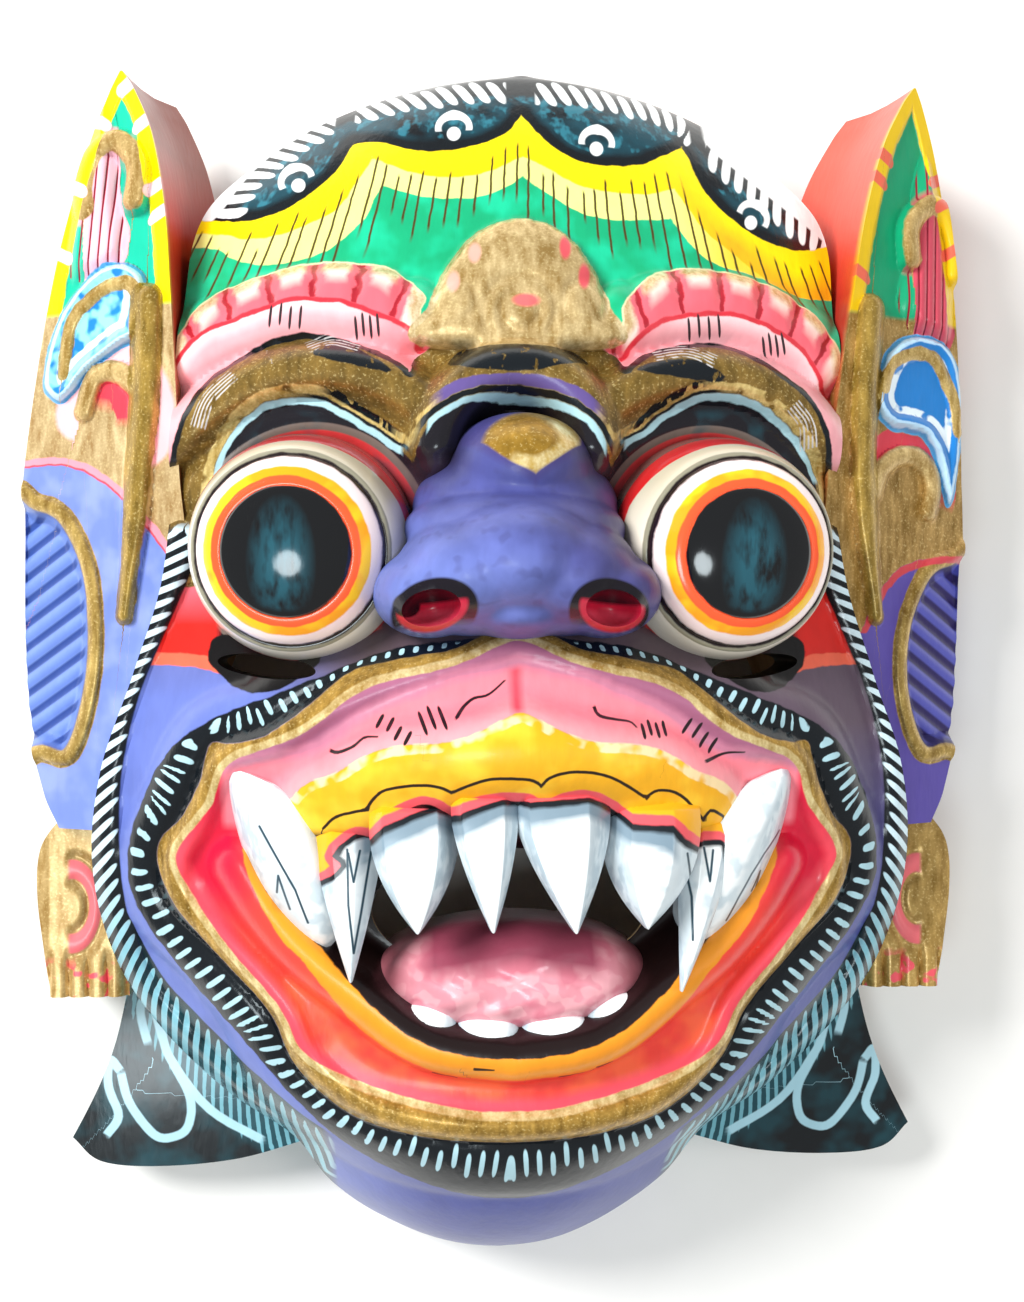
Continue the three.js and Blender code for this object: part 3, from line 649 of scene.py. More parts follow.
def ear_height(side, x, y):
    """Height of an ear's carved front, for x from the leaned middle line."""
    lines = EAR_LINES[side]
    ground = 47 - 19 * (x - 72) / 30
    z = ground.copy()
    outer = np.minimum(ear_outer(y) - x, (x - ear_inner(y)))
    z = z - 0.9 * ease(2.6, 3.6, outer) * ease(74, 80, y)
    lotus, _ = beside(lines["lotus"], x, y, closed=True)
    z = np.where(lotus < 0, np.maximum(z, ground - 0.6 + 3.4 * ease(0, 4.5, -lotus)), z)
    flutes = np.abs(np.sin((x - 88 + (y - 70) * 0.05) * 1.45))
    z = z - np.where(lotus < -0.6, 0.5 * (1 - flutes) ** 2 * ease(114, 98, y), 0)
    cap, _ = beside(lines["cap"], x, y)
    z = softer_max(z, ground + 1.4 + ridge(cap, 2.4, 2.4), 0.3)
    scroll, _ = beside(lines["scroll"], x, y, closed=True)
    raised = ground + 2.8 * ease(0, 1.6, -scroll) - 1.4 * ease(2, 4.5, -scroll)
    z = np.where(scroll < 0, np.maximum(z, raised), z)
    wave, _ = beside(lines["wave"], x, y)
    z = softer_max(z, ground + 1.2 + ridge(wave, 1.5, 1.4), 0.3)
    flower, _ = beside(lines["flower"], x, y)
    z = softer_max(z, ground + 0.2 + ridge(flower, 2.3, 2.2), 0.3)
    drop, run = beside(DROP, x, y)
    z = softer_max(z, ground - 0.4 + ridge(drop, 3.4 - 1.4 * ease(40, 64, run), 4, 0.6), 0.4)
    shell, _ = beside(shell_line(side), x, y, closed=True)
    grooves = 0.45 * np.cos((y * 0.83 + x * 0.55) * 2 * math.pi / 4.2)
    z = z - (5.2 - grooves) * ease(-0.2, 2.2, -shell) * (shell < 0)
    return softer_max(z, ground + ridge(shell, 1.7, 1.7), 0.3)


def ear(side):
    def place(u, v):
        y = 46.5 + 79.4 * v
        x = ear_inner(y) + (u + 1) / 2 * (ear_outer(y) - ear_inner(y))
        return lean(side * x, y), y, ear_height(side, x, y)

    def back(x, y, z):
        return x - side * 4, y, 14 * float(np.clip((y - 88) / 38, 0, 1))

    bm = relief(EAR_COLUMNS, EAR_ROWS, place, back, drop=4)
    return finished(bm, "ear_left" if side < 0 else "ear_right")


ears = {side: ear(side) for side in (-1, 1)}

# %% Ear lobes and beard tufts
LOBE_INNER = [(-69, 80), (-50, 80), (-34, 80), (-30, 86)]
LOBE_OUTER = [(-69.4, 96.6), (-60, 97.8), (-48, 99.4), (-38, 98.8), (-32, 95), (-30, 92)]
TUFT_TOP = [(60, -64), (71, -66), (82, -68)]
TUFT_LOW = [(43, -104.6), (58, -108.6), (74.9, -110), (88, -108.8), (94.4, -103.4)]


def lobe_height(x, y):
    """A gold block with a curled mark dug in and toes at its lower edge."""
    z = 29 + 1.2 * ease(0, 3, np.minimum(x - 80, ear_outer(-26.0) + 2 - x))
    for radius in (3.4, 6.6):
        away = np.hypot((x - 92) * 1.0, (y + 50) * 0.62) - radius
        z = z - 0.8 * np.exp(-((away / 0.8) ** 2)) * ease(93.5, 91, x)
    toes = np.abs(np.sin((x - 80.5) * math.pi / 4.1))
    return z - 1.5 * (1 - toes) ** 2 * ease(-58, -64, y)


def lobe(side):
    inner, outer = profile(LOBE_INNER, 1), profile(LOBE_OUTER, 1)

    def place(u, v):
        y = -49.7 + 19.7 * v
        x = inner(y) + (u + 1) / 2 * (outer(y) - inner(y))
        return side * x, y, lobe_height(x, y)

    bm = relief(48, 100, place, lambda x, y, z: (x, y, 0), drop=3)
    return finished(bm, "lobe_left" if side < 0 else "lobe_right")


def tuft(side):
    """A flat wing of beard hair between the cheek and a curved lower edge."""
    top, low = smooth_line(TUFT_TOP, steps=12), smooth_line(TUFT_LOW, steps=12)

    def along(line, share):
        at = np.linspace(0, 1, len(line))
        return np.interp(share, at, line[:, 0]), np.interp(share, at, line[:, 1])

    def place(u, v):
        share, down = (u + 1) / 2, (1 - v) / 2
        (tx, ty), (lx, ly) = along(top, share), along(low, share)
        x, y = tx + (lx - tx) * down, ty + (ly - ty) * down
        x = x - 2.2 * np.sin(down * math.pi) * share**4
        return side * x, y, 15.4 + 1.4 * np.sin(down * 3) - 1.2 * share

    bm = relief(60, 60, place, lambda x, y, z: (x, y, 0), drop=3)
    return finished(bm, "tuft_left" if side < 0 else "tuft_right")


lobes = [lobe(side) for side in (-1, 1)]
tufts = [tuft(side) for side in (-1, 1)]

# %% [markdown]
# ## Guide lines for the brush
# Before painting, a carver pencils the borders of the colours on the primed wood. Here those pencil
# lines are short lists of points. Each vertex of a mesh then carries its signed distance to a line, so
# that the shader can tell one side from the other, and how far along the line it is, so that dashes
# and hatching can be counted. A signed distance stays sharp between two vertices, which a painted
# picture on the mesh would not.

# %% Numbers that a mesh carries for the shader
def spots(piece):
    """Each vertex in millimetres, with the lean of the crown taken out."""
    flat = np.empty(len(piece.data.vertices) * 3)
    piece.data.vertices.foreach_get("co", flat)
    x, y, z = flat.reshape(-1, 3).T / MM
    return x - lean(0.0, y), y, z


def carry(piece, **numbers):
    for name, values in numbers.items():
        layer = piece.data.attributes.new(name, "FLOAT", "POINT")
        layer.data.foreach_set("value", np.asarray(values, np.float32))


def strokes(lines, x, y):
    """Signed distance to the nearest of several open strokes, and the share of the way along it."""
    best, share = np.full(x.shape, 1e3), np.zeros(x.shape)
    for line in lines:
        steps = 1 if len(line) == 2 else 5
        away, run = beside(line, x, y, steps=steps)
        length = np.hypot(*np.diff(smooth_line(line, steps=steps), axis=0).T).sum()
        nearer = np.abs(away) < np.abs(best)
        best = np.where(nearer, away, best)
        share = np.where(nearer, run / length, share)
    return best, share


def across(half, side_y):
    """A line over the whole face from its right half, ending at a height beside the face."""
    half = [*half, (95, side_y)]
    return [(-x, y) for x, y in half[::-1] if x > 0] + half


def uneven(left, right, side_y=None):
    """A line over the whole face: the left part from its outer end in, then the right part out."""
    if side_y is not None:
        left, right = [(95, side_y), *left], [*right, (95, side_y)]
    return [(-x, y) for x, y in left] + right


# %% Borders of the crown, in millimetres
PEAK = (-0.5, 117.6)
CROWN_BLACK = uneven(
    [(74, 97.5), (64.6, 95.7), (59.2, 94.8), (54, 94.8), (48.3, 96.6), (43.5, 99.8), (38.8, 104.3),
     (35.3, 111.4),
     (35.3, 111.4), (29.8, 111.3), (24.7, 109.4), (19, 108.6), (13.3, 109), (7.7, 110.7), (2.7, 113.7)],
    [PEAK, PEAK, (3.6, 112.5), (8, 108.5), (13, 106.2), (18.1, 105.7), (24, 106.3), (29.3, 108.8),
     (34.2, 111.8),
     (34.2, 111.8), (35.6, 109.6), (38.3, 102.6), (41.9, 98.1), (47.4, 93.9), (53.8, 91.1), (60.5, 90.3),
     (64.8, 91.2), (69.1, 92.9), (76, 95)], 95)
CROWN_PALE = uneven(
    [(74, 92.4), (62.4, 92.2), (56.6, 90.4), (49.3, 90.8), (43.8, 92.7), (38.2, 95.4), (34.9, 99.9),
     (31.1, 107.5),
     (31.1, 107.5), (24.5, 104.3), (18.8, 102.5), (11.7, 102.5), (6.1, 104.1)],
    [(0, 107.2), (0, 107.2), (4.4, 105.1), (10.1, 101.7), (15.9, 100), (21.7, 99.5), (27.6, 99.9),
     (32.1, 101.5),
     (32.1, 101.5), (35.1, 97.3), (38.8, 92.2), (44.2, 88.4), (51.2, 83.5), (58, 80), (68, 80), (76, 82)], 82)
CROWN_GREEN = uneven(
    [(74, 90), (63.7, 89.3), (59.3, 86.4), (53.2, 84.5), (46, 84.5), (40.4, 86), (37.1, 88.4), (33, 92.1),
     (31.2, 95), (29, 100.8), (29, 100.8), (25.7, 99.5), (20, 98), (13, 97.4), (6, 98.6)],
    [(0, 102.5), (0, 102.5), (3.1, 100.4), (8.1, 97), (13.1, 94.4), (18.8, 93.5), (26.1, 93.8), (31.3, 94.3),
     (31.3, 94.3), (33.5, 91.7), (37.3, 87.4), (41.8, 84.8), (47.3, 83.8), (57, 81.9), (62.9, 82),
     (67.2, 83.6),
     (76, 87)], 87)
CROWN_COMB = uneven(
    [(72, 88), (66, 94.5), (62.4, 98.7), (59.1, 104.6), (54.9, 110), (49.2, 114.6), (43, 118.7),
     (36.8, 121.5),
     (32, 122.6), (26.1, 124), (17.7, 125.2), (9.2, 125.8), (0.7, 126)],
    [(3.6, 125.9), (12.3, 125.6), (21.1, 124.6), (30, 122.4), (37.1, 118.9), (42, 112.6), (47.3, 108.1),
     (56.3, 101.3), (66.8, 94.4), (74, 88)], 80)
MOONS = [(-46.9, 103.4, 22), (-14.5, 114.2, 2), (15.6, 111.2, -4), (50, 96.7, -24)]

# %% Borders of the brows and eyes, in millimetres
CREST_TOP = uneven(
    [(74, 62), (67, 74), (60.9, 79.4), (58, 79.8), (53, 81.7), (46.7, 83.4), (40.3, 84), (34, 83.8),
     (27.7, 82.7),
     (23.4, 80.2), (18.6, 75), (17, 70)],
    [(17, 68), (20.5, 73.4), (21.9, 76), (26.2, 80.7), (30.6, 82.8), (35.8, 83.7), (41.1, 83.6), (47.3, 82.7),
     (52.8, 81.4), (57.7, 78.8), (61.9, 76.3), (65.2, 73.7), (69, 68), (74, 58)], 50)
CREST_ARC = uneven(
    [(74, 57), (66, 68), (58, 71.6), (49, 74.3), (45.4, 75.2), (40.5, 75), (35.6, 74.3), (30, 72.3),
     (24.2, 69.7),
     (19.7, 66.7), (17, 64)],
    [(17, 62), (22.9, 66), (26.4, 69.3), (29.9, 71.3), (36.5, 72.6), (42.6, 73.2), (48.8, 72.3), (54.4, 70.2),
     (60.1, 67), (65, 61), (74, 48)], 40)
CREST_TICKS = [(-46.7, 72, -3, 2.05), (-30.2, 69.4, 8, 1.45), (37.9, 70.4, 12, 2.15), (53.5, 67.8, 18, 1.4)]
BROW_TOP = uneven(
    [(73, 24), (69.5, 40), (66.5, 52), (62.1, 59.6), (58.6, 62.3), (54.6, 65), (49.9, 67.4), (44.1, 68.6),
     (39, 68.3), (33.9, 66.7), (28.8, 64.7), (24.5, 62.4), (21.3, 59.8), (21.3, 59.8), (19.4, 64),
     (12, 66.4)],
    [(0, 66.4), (12, 66), (19.4, 64.4), (21.6, 61), (21.6, 61), (25.5, 64.2), (29.8, 65.8), (35.1, 67),
     (40.5, 67.5), (45.4, 66.4), (50.2, 64.1), (55.2, 61), (60.3, 57.7), (63.7, 53.3), (65.9, 48.2), (69, 38),
     (72, 24)], 22)
UNDER_BROW = uneven(
    [(63, 18), (60.5, 30), (59.4, 37.4), (58.8, 41.1), (57.8, 44.6), (56.1, 47.8), (53.3, 51), (49.1, 53.7),
     (43.3, 54.5), (38.2, 53.8), (32.4, 50.7), (26.5, 47), (21.9, 43.7), (19.8, 41.5), (19.8, 41.5),
     (17.9, 46.9),
     (15.2, 50), (9.6, 53.1), (2.1, 54.1)],
    [(5.6, 53.2), (11.5, 50.6), (15.5, 46.8), (17.8, 43), (19.2, 40.5), (19.2, 40.5), (21.6, 45.1),
     (26.1, 48.1),
     (29.7, 51.1), (34, 53.9), (37.8, 55.5), (42.4, 55.7), (47.9, 55), (52.9, 52.6), (57.2, 49.5),
     (60.6, 45.6),
     (63.2, 41.2), (64.8, 33), (66, 18)], 16)
# Black lenses: two on the brows, and one in the gap under the boss that is the boss's painted shadow.
LENSES_AND_BOSS_SHADOW = [
    [(-40.6, 63.6), (-36.1, 65.8), (-30, 63.4), (-24.3, 58.8), (-29.9, 60), (-37.2, 62)],
    [(23.9, 60.2), (27, 62), (35.4, 62.6), (42.6, 58.8), (33.4, 58.6)],
    [(-14, 61), (-10, 65), (0, 66), (8, 65.6), (14.5, 62), (8, 60), (0, 58.6), (-8, 59)],
]
BROW_STREAKS = [[(-42, 64.6), (-37, 66.8), (-31, 65)], [(27, 63.6), (34, 64.6), (40, 62.2)],
                [(-63, 49), (-61, 55), (-56, 60)], [(62, 46), (60.6, 51), (57, 55)]]
UNDER_EYE = across([(14, 10), (22, 11), (28.5, 9.5), (34.6, 7.4), (40.4, 4.6), (46.5, 1.7), (53.1, 0.6),
                    (62.6, 2.6), (70.7, 3), (80, 3)], 3)
# The outline of the black painted shadow under each eye, beside the slit.
EYE_SHADOW = [(38, 3), (44, 5.4), (57.6, 7.4), (60, 3.6), (57.4, 0), (52, -3), (45.5, -2.4)]

# %% Borders of the mouth and beard, in millimetres
RIM_OUT = [
    (0, 9.6), (5.9, 7.9), (12, 5), (18, 3.8), (25, 2.5), (31, 1), (35, -1.7), (39.2, -5.3), (44, -9),
    (49, -12),
    (55, -13.4), (59.2, -13.4), (60.5, -16.6), (61.5, -21), (63.5, -25), (66, -29), (70, -33), (70.9, -38.5),
    (66.8, -47.3), (58, -57), (48.2, -67.6), (43, -79), (32.6, -88.4), (18, -92.4), (0, -93.4)]
RIM_IN = [
    (0, 6.8), (4.6, 5.4), (10, 2.8), (16, 1), (23, -0.5), (28, -2), (32.6, -4.5), (36, -7.5), (41, -11),
    (46, -13.2), (50, -14.6), (54, -16.2), (57, -19), (59, -25), (62, -29), (66, -34), (66.8, -38.3),
    (62.5, -46.3), (54.9, -56.2), (46.3, -65.9), (42.4, -74.1), (36.1, -78.8), (25.5, -82.9), (9.2, -86.4),
    (0, -86.8)]
BAND_OUT = [
    (0, 7.4), (11.4, 6.8), (24.9, 4.8), (36.8, 0), (47.2, -4), (62.1, -10.4), (71.1, -19.5), (77, -35),
    (76.1, -46.5), (65.7, -61.3), (54, -73.9), (44.6, -85.3), (32.2, -97.2), (16.6, -104.5), (0, -108.5)]
MAUVE_LOW = across([(0, 3.4), (3.4, 2.2), (13, 0), (20, -2.8), (25.7, -5), (31, -8), (36, -11.8), (41, -14.3),
                    (46, -15.2), (54, -16.6), (64, -20)], -25)
GUM_TOP = across([(0, -7), (3.2, -8.2), (8, -10.6), (14, -12.5), (20, -12.9), (25.5, -13.8), (30, -15.8),
                  (34.5, -18.6), (39.5, -20.5), (43, -23.7), (46, -29), (48, -40), (49, -60)], -70)
GUM_LOW = uneven(
    [(38, -40), (35.3, -34.9), (34.2, -32.7), (30.6, -30.4), (27.8, -31.1), (27.8, -31.1), (24.3, -27.2),
     (20.1, -24.6), (16.6, -24.2), (12.1, -26.9), (12.1, -26.9), (9, -24.5), (4.3, -23.4), (0.7, -23.4)],
    [(1.9, -23.8), (4.5, -26.1), (4.5, -26.1), (7.2, -23.9), (12.1, -22.9), (16.5, -24.4), (21.9, -28.3),
     (21.9, -28.3), (25.5, -26.9), (29.4, -28.6), (32, -32.7), (34.4, -33.2), (38.1, -31.5), (42, -34),
     (46, -40)], -70)
SCALLOP = uneven(
    [(37.1, -29.4), (34.2, -26.8), (28.8, -25.5), (28.8, -25.5), (26.3, -22.1), (21.5, -20.7), (16, -20.6),
     (12.7, -21.9), (12.7, -21.9), (9.1, -20.2), (5.1, -19.1), (0.9, -19.2)],
    [(2, -19.4), (3.9, -20.6), (3.9, -20.6), (5.6, -18.8), (10.4, -17.9), (16.9, -19), (24.1, -23.2),
     (24.1, -23.2), (26.6, -21.8), (31.2, -23), (36.3, -28), (36.3, -28), (37.7, -26.2), (40.5, -27.5)])
LIP_MARKS = [
    [(-35.8, -14.3), (-34.1, -14.6), (-31.2, -13.4), (-29.1, -11.7), (-26.3, -11.5)],
    [(-12.1, -8.2), (-10.6, -6), (-8.5, -4.3), (-5.7, -3.6), (-2.4, -0.8)],
    [(14.2, -5.7), (15, -7.5), (18.2, -8.3), (21.1, -8.8), (22.4, -10)],
    [(36.3, -16.7), (39.5, -15.7), (41.8, -15.2), (45.1, -15.2)],
]
LIP_TICKS = [(-16.4, -8.2, 20, 1.9, 3, 4.6), (-23.5, -10, -28, 2.0, 4, 3.0), (25.8, -10.2, 8, 1.5, 4, 3.0),
             (35.6, -11.6, -34, 2.2, 4, 3.6)]
LOWER_GUM_LOW = across([(0, -79.6), (12.5, -78.6), (20.3, -75.8), (28.2, -71), (33, -66.2), (39.9, -57.4),
                        (46.8, -49.6), (51.4, -40), (53, -33), (54, -10)], 0)
LOWER_GUM_TOP = across([(0, -74.6), (12, -73.4), (21, -69.6), (28, -64), (33, -58.6), (40, -51), (46.5, -44),
                        (49.5, -38), (50.5, -10)], 0)
GUM_MARKS = [[(-16, -78.2), (-11, -79.4)], [(-8, -76.6), (-4, -76.8)], [(9, -79.4), (14, -78.8)],
             [(16.6, -77.4), (19.4, -76.4)]]


def face_guides(x, y):
    """Every number that the face carries for its paint."""
    ax = np.abs(x)
    full = {
        "crown_black": CROWN_BLACK, "crown_pale": CROWN_PALE, "crown_green": CROWN_GREEN,
        "crest_top": CREST_TOP,
        "crest_arc": CREST_ARC, "brow_top": BROW_TOP, "under_brow": UNDER_BROW, "under_eye": UNDER_EYE,
        "mauve_low": MAUVE_LOW, "gum_top": GUM_TOP, "gum_low": GUM_LOW, "scallop": SCALLOP,
        "lower_gum_low": LOWER_GUM_LOW, "lower_gum_top": LOWER_GUM_TOP,
    }
    numbers = {name: beside(line, x, y, steps=4, spans=True)[0] for name, line in full.items()}
    numbers["comb"], numbers["comb_run"] = beside(CROWN_COMB, x, y, spans=True)
    numbers["rim_out"], numbers["rim_run"] = beside(RIM_OUT, ax, y)
    numbers["rim_in"], _ = beside(both_halves(RIM_IN), x, y, closed=True)
    numbers["band_out"], _ = beside(both_halves(BAND_OUT), x, y, closed=True)
    numbers["rope"], numbers["rope_run"] = beside(ROPE_BAND, ax, y)
    numbers["boss"], _ = beside(both_halves(BOSS), x, y, closed=True)
    numbers["lens"] = np.min([beside(line, x, y, closed=True)[0] for line in LENSES_AND_BOSS_SHADOW], axis=0)
    numbers["eye_shadow"], _ = beside(EYE_SHADOW, ax, y, closed=True)
    for name, lines in (("lip_mark", LIP_MARKS), ("streak", BROW_STREAKS), ("gum_mark", GUM_MARKS)):
        numbers[name], numbers[name + "_share"] = strokes(lines, x, y)
    return numbers


fx, fy, fz = spots(face)
face_numbers = face_guides(fx, fy)
carry(face, **face_numbers)
print("the face carries", len(face.data.attributes), "guides")

# %% [markdown]
# ## Shader maths in plain sums
# Every finish here is worked out by nodes, with no pictures. One small class wraps a socket, so that
# a sum such as `1 - mask` or `distance.over(2)` adds the nodes for it. A second class is the painter:
# it starts with a ground colour and lays one coat over another through masks, as enamel is laid on
# the real mask, and keeps gloss and metal for each coat.

# %% One socket that can be reckoned with
class Value:
    """A socket of a material, with the sums that the paint needs."""

    def __init__(self, tree, socket):
        self.tree, self.socket = tree, socket

    def node(self, kind, settings, sockets, out=0):
        made = self.tree.nodes.new("ShaderNode" + kind)
        for name, setting in settings.items():
            setattr(made, name, setting)
        for name, value in sockets.items():
            if isinstance(value, Value):
                self.tree.links.new(value.socket, made.inputs[name])
            else:
                made.inputs[name].default_value = value
        return Value(self.tree, made.outputs[out])

    def math(self, operation, *others, clamp=False):
        settings = {"operation": operation, "use_clamp": clamp}
        return self.node("Math", settings, dict(enumerate((self, *others))))

    def __add__(self, other):
        return self.math("ADD", other)

    def __mul__(self, other):
        return self.math("MULTIPLY", other)

    def __sub__(self, other):
        return self.math("SUBTRACT", other)

    def __rsub__(self, other):
        return self.node("Math", {"operation": "SUBTRACT"}, {0: other, 1: self})

    def __truediv__(self, other):
        return self.math("DIVIDE", other)

    def __abs__(self):
        return self.math("ABSOLUTE")

    __radd__, __rmul__ = __add__, __mul__

    def over(self, edge=0.0, soft=0.3):
        """1 above an edge and 0 below it, with a soft step as wide as wet paint needs."""
        return self.math("MULTIPLY_ADD", 1 / soft, 0.5 - edge / soft, clamp=True)

    def under(self, edge=0.0, soft=0.3):
        return self.math("MULTIPLY_ADD", -1 / soft, 0.5 + edge / soft, clamp=True)

    def within(self, low, high, soft=0.3):
        return self.over(low, soft) * self.under(high, soft)

    def low(self, other):
        return self.math("MINIMUM", other)

    def high(self, other):
        return self.math("MAXIMUM", other)

    def floor(self):
        return self.math("FLOOR")

    def chance(self):
        """A fixed random number for each whole number."""
        return self.node("TexWhiteNoise", {"noise_dimensions": "1D"}, {"W": self})


def tint(code):
    """A colour as written on a paint card, as the linear numbers that a shader mixes."""
    parts = [int(code[i:i + 2], 16) / 255 for i in (1, 3, 5)]
    return tuple(c / 12.92 if c <= 0.04045 else ((c + 0.055) / 1.055) ** 2.4 for c in parts) + (1.0,)


# %% The painter
class Finish:
    """A finish built up coat by coat over a ground colour."""

    def __init__(self, name, ground, roughness=0.42, metallic=0.0):
        self.material = bpy.data.materials.new(name)
        self.material.use_nodes = True
        tree = self.material.node_tree
        self.shader = tree.nodes["Principled BSDF"]
        self.start = Value(tree, None)
        place = self.start.node("TexCoord", {}, {}, out="Object")
        self.place = place.node("VectorMath", {"operation": "SCALE"}, {0: place, "Scale": 1 / MM})
        parts = [self.place.node("SeparateXYZ", {}, {0: self.place}, out=n) for n in range(3)]
        self.y, self.z = parts[1:]
        slant = ((self.y - LEAN_START) * (1 / (CROWN_TOP - LEAN_START))).math("ADD", 0, clamp=True)
        self.x = parts[0] - slant * LEAN
        self.ax = abs(self.x)
        self.colour, self.roughness, self.metallic = tint(ground), roughness, metallic
        self.cloud, self.wave = self.noise(0.12, 2), self.noise(0.3, 1, shift=6.0)
        self.brush, self.speckle = self.noise(0.6, 2, stretch=(1, 0.3, 1)), self.noise(1.9, 1, shift=7.0)
        self.wobble = (self.wave - 0.5) * 0.9 + (self.speckle - 0.5) * 0.16
        self.bump = self.brush

    def noise(self, scale, detail=2.0, stretch=(1, 1, 1), shift=0.0):
        """Cloudy values from 0 to 1, with a scale in waves per millimetre."""
        where = self.place.node("VectorMath", {"operation": "MULTIPLY_ADD"},
                                {0: self.place, 1: stretch, 2: (shift, shift, shift)})
        return where.node("TexNoise", {}, {"Vector": where, "Scale": scale, "Detail": detail})

    def guide(self, name, wobble=1.0):
        read = self.start.node("Attribute", {"attribute_name": name}, {}, out="Fac")
        return read + self.wobble * wobble if wobble else read

    def mix(self, mask, first, second):
        """Two colours, or two numbers, mixed by a mask."""
        if isinstance(first, (int, float)) and isinstance(second, (int, float)) or isinstance(second, float):
            return mask.node("Mix", {"data_type": "FLOAT"}, {0: mask, 2: first, 3: second})
        return mask.node("Mix", {"data_type": "RGBA"}, {0: mask, 6: first, 7: second}, out=2)

    def distance(self, across, up):
        return (across * across + up * up).math("SQRT")

    def coat(self, mask, colour, roughness=None, metallic=None):
        """One coat of paint through a mask."""
        shade = tint(colour) if isinstance(colour, str) else colour
        self.colour = self.mix(mask, self.colour, shade)
        if roughness is not None:
            self.roughness = self.mix(mask, self.roughness, float(roughness))
        if metallic is not None:
            self.metallic = self.mix(mask, self.metallic, float(metallic))

    def gold(self, mask, dark="#7d5a1e", light="#cfa550"):
        """Bronze powder in varnish: brown where it is thin, bright in speckles and brush lines."""
        thick = (self.brush * 0.6 + self.speckle * 0.25 + self.cloud * 0.3).over(0.58, 0.34)
        tone = self.mix(thick, tint(dark), tint(light))
        self.coat(mask, self.mix(self.speckle.over(0.66, 0.1) * 0.35, tone, tint("#f0dc9c")), 0.38, 0.4)

    def stroke(self, across, along, half_width, half_length=1.0, soft=0.3):
        """A rounded brush stroke about the middle of a cell, for distances in millimetres."""
        a, b = across / half_width, along / half_length
        b = b * b
        return (a * a + b * b).under(1, soft)

    def aged(self, depth=0.16):
        """Uneven brushing, so that no coat is one flat colour."""
        tone = 1 + (self.cloud - 0.5) * (2 * depth) + (self.brush - 0.5) * depth
        self.colour = tone.node("VectorMath", {"operation": "SCALE"}, {0: self.colour, "Scale": tone})

    def done(self, *pieces, bump=0.35, depth_mm=0.25, coat=0.0):
        """Links what was mixed to the shader and lays the finish on its pieces."""
        for socket, value in (("Base Color", self.colour), ("Roughness", self.roughness),
                              ("Metallic", self.metallic)):
            if isinstance(value, Value):
                self.material.node_tree.links.new(value.socket, self.shader.inputs[socket])
            else:
                self.shader.inputs[socket].default_value = value
        self.shader.inputs["Coat Weight"].default_value = coat
        self.shader.inputs["Coat Roughness"].default_value = 0.12
        if bump:
            grain = self.bump.node("Bump", {},
                                   {"Strength": bump, "Distance": depth_mm * MM, "Height": self.bump})
            self.material.node_tree.links.new(grain.socket, self.shader.inputs["Normal"])
        for piece in pieces:
            piece.data.materials.clear()
            piece.data.materials.append(self.material)
        print(self.material.name, "uses", len(self.material.node_tree.nodes), "nodes")


# %% [markdown]
# ## Paint on the face
# The painter works from large to small: the dark socket and cheek grounds first, then brows, crests
# and crown, then lips and gums, and last the fine brush lines. The order matters, because each coat
# hides the ragged edge of the one before it.

# %% Grounds, brows and crests
WHITE_BLUE, ENAMEL_BLACK = "#cfe6ee", "#0d1318"


def dashes(finish, run, away, pitch, slant, width, low, high, uneven_by=0.25):
    """A row of short strokes across a band, counted along it; slant leans them."""
    phase = (run + away * slant) * (1 / pitch)
    number = phase.floor()
    chance = number.chance()
    beside_it = (phase - number - 0.5) * pitch
    middle, half = (low + high) * 0.5, (high - low) * 0.5
    reach = (away - middle + (chance - 0.5) * uneven_by * 2) / half
    return finish.stroke(beside_it, reach, width / 2, 1.0, 0.5)


def ticks(p, middle_x, middle_y, turn, pitch, count, length, half_width=0.28):
    """A few short parallel lines, counted across from their middle."""
    a = math.radians(turn)
    over = (p.x - middle_x) * math.cos(a) + (p.y - middle_y) * math.sin(a)
    up = (p.y - middle_y) * math.cos(a) - (p.x - middle_x) * math.sin(a)
    phase = over * (1 / pitch) + count / 2
    number = phase.floor()
    beside_it = (phase - number - 0.5) * pitch
    counted = phase.over(0, 0.02) * phase.under(count, 0.02)
    return p.stroke(beside_it, up + (number.chance() - 0.5), half_width, length / 2, 0.6) * counted


def paint_grounds(p):
    x, y, ax = p.x, p.y, p.ax
    eye_r = p.distance(ax - EYE[0], y - EYE[1])
    left = x.under(-30, 30)
    p.coat(y.under(-30, 40), "#4a5296")
    # A lighter blue on the left cheek: painted light on the side nearer the lamp.
    p.coat(left * y.under(10, 30), "#6373ba")
    p.coat(y.over(-4, 10) * ax.under(40, 24), "#55464c")
    above_eye = p.guide("under_eye").over(0)
    p.coat(above_eye, "#16141a", 0.22)
    ring = eye_r.within(19, 25.8)
    p.coat(above_eye * ring * eye_r.under(24.6), "#6f6058", 0.35)
    p.coat(above_eye * eye_r.under(23.2) * y.over(22, 8), "#d2383a", 0.35)
    p.coat(above_eye * ax.under(24, 8) * y.under(38, 12), "#4a3440")
    temple = above_eye * ax.over(58.5, 1.5) * y.under(34, 5)
    p.coat(temple, "#d2231b", 0.35)
    # The red temple turns pink on the left: painted light on the side nearer the lamp.
    p.coat(temple * x.under(0) * y.over(14, 8), "#f06a78")
    p.coat(abs(p.guide("under_eye")).under(1.3) * ax.over(27, 3), "#e8644a")
    # Black under the eye: painted shadow.
    p.coat(p.guide("eye_shadow").under(0.4), "#090708", 0.3)


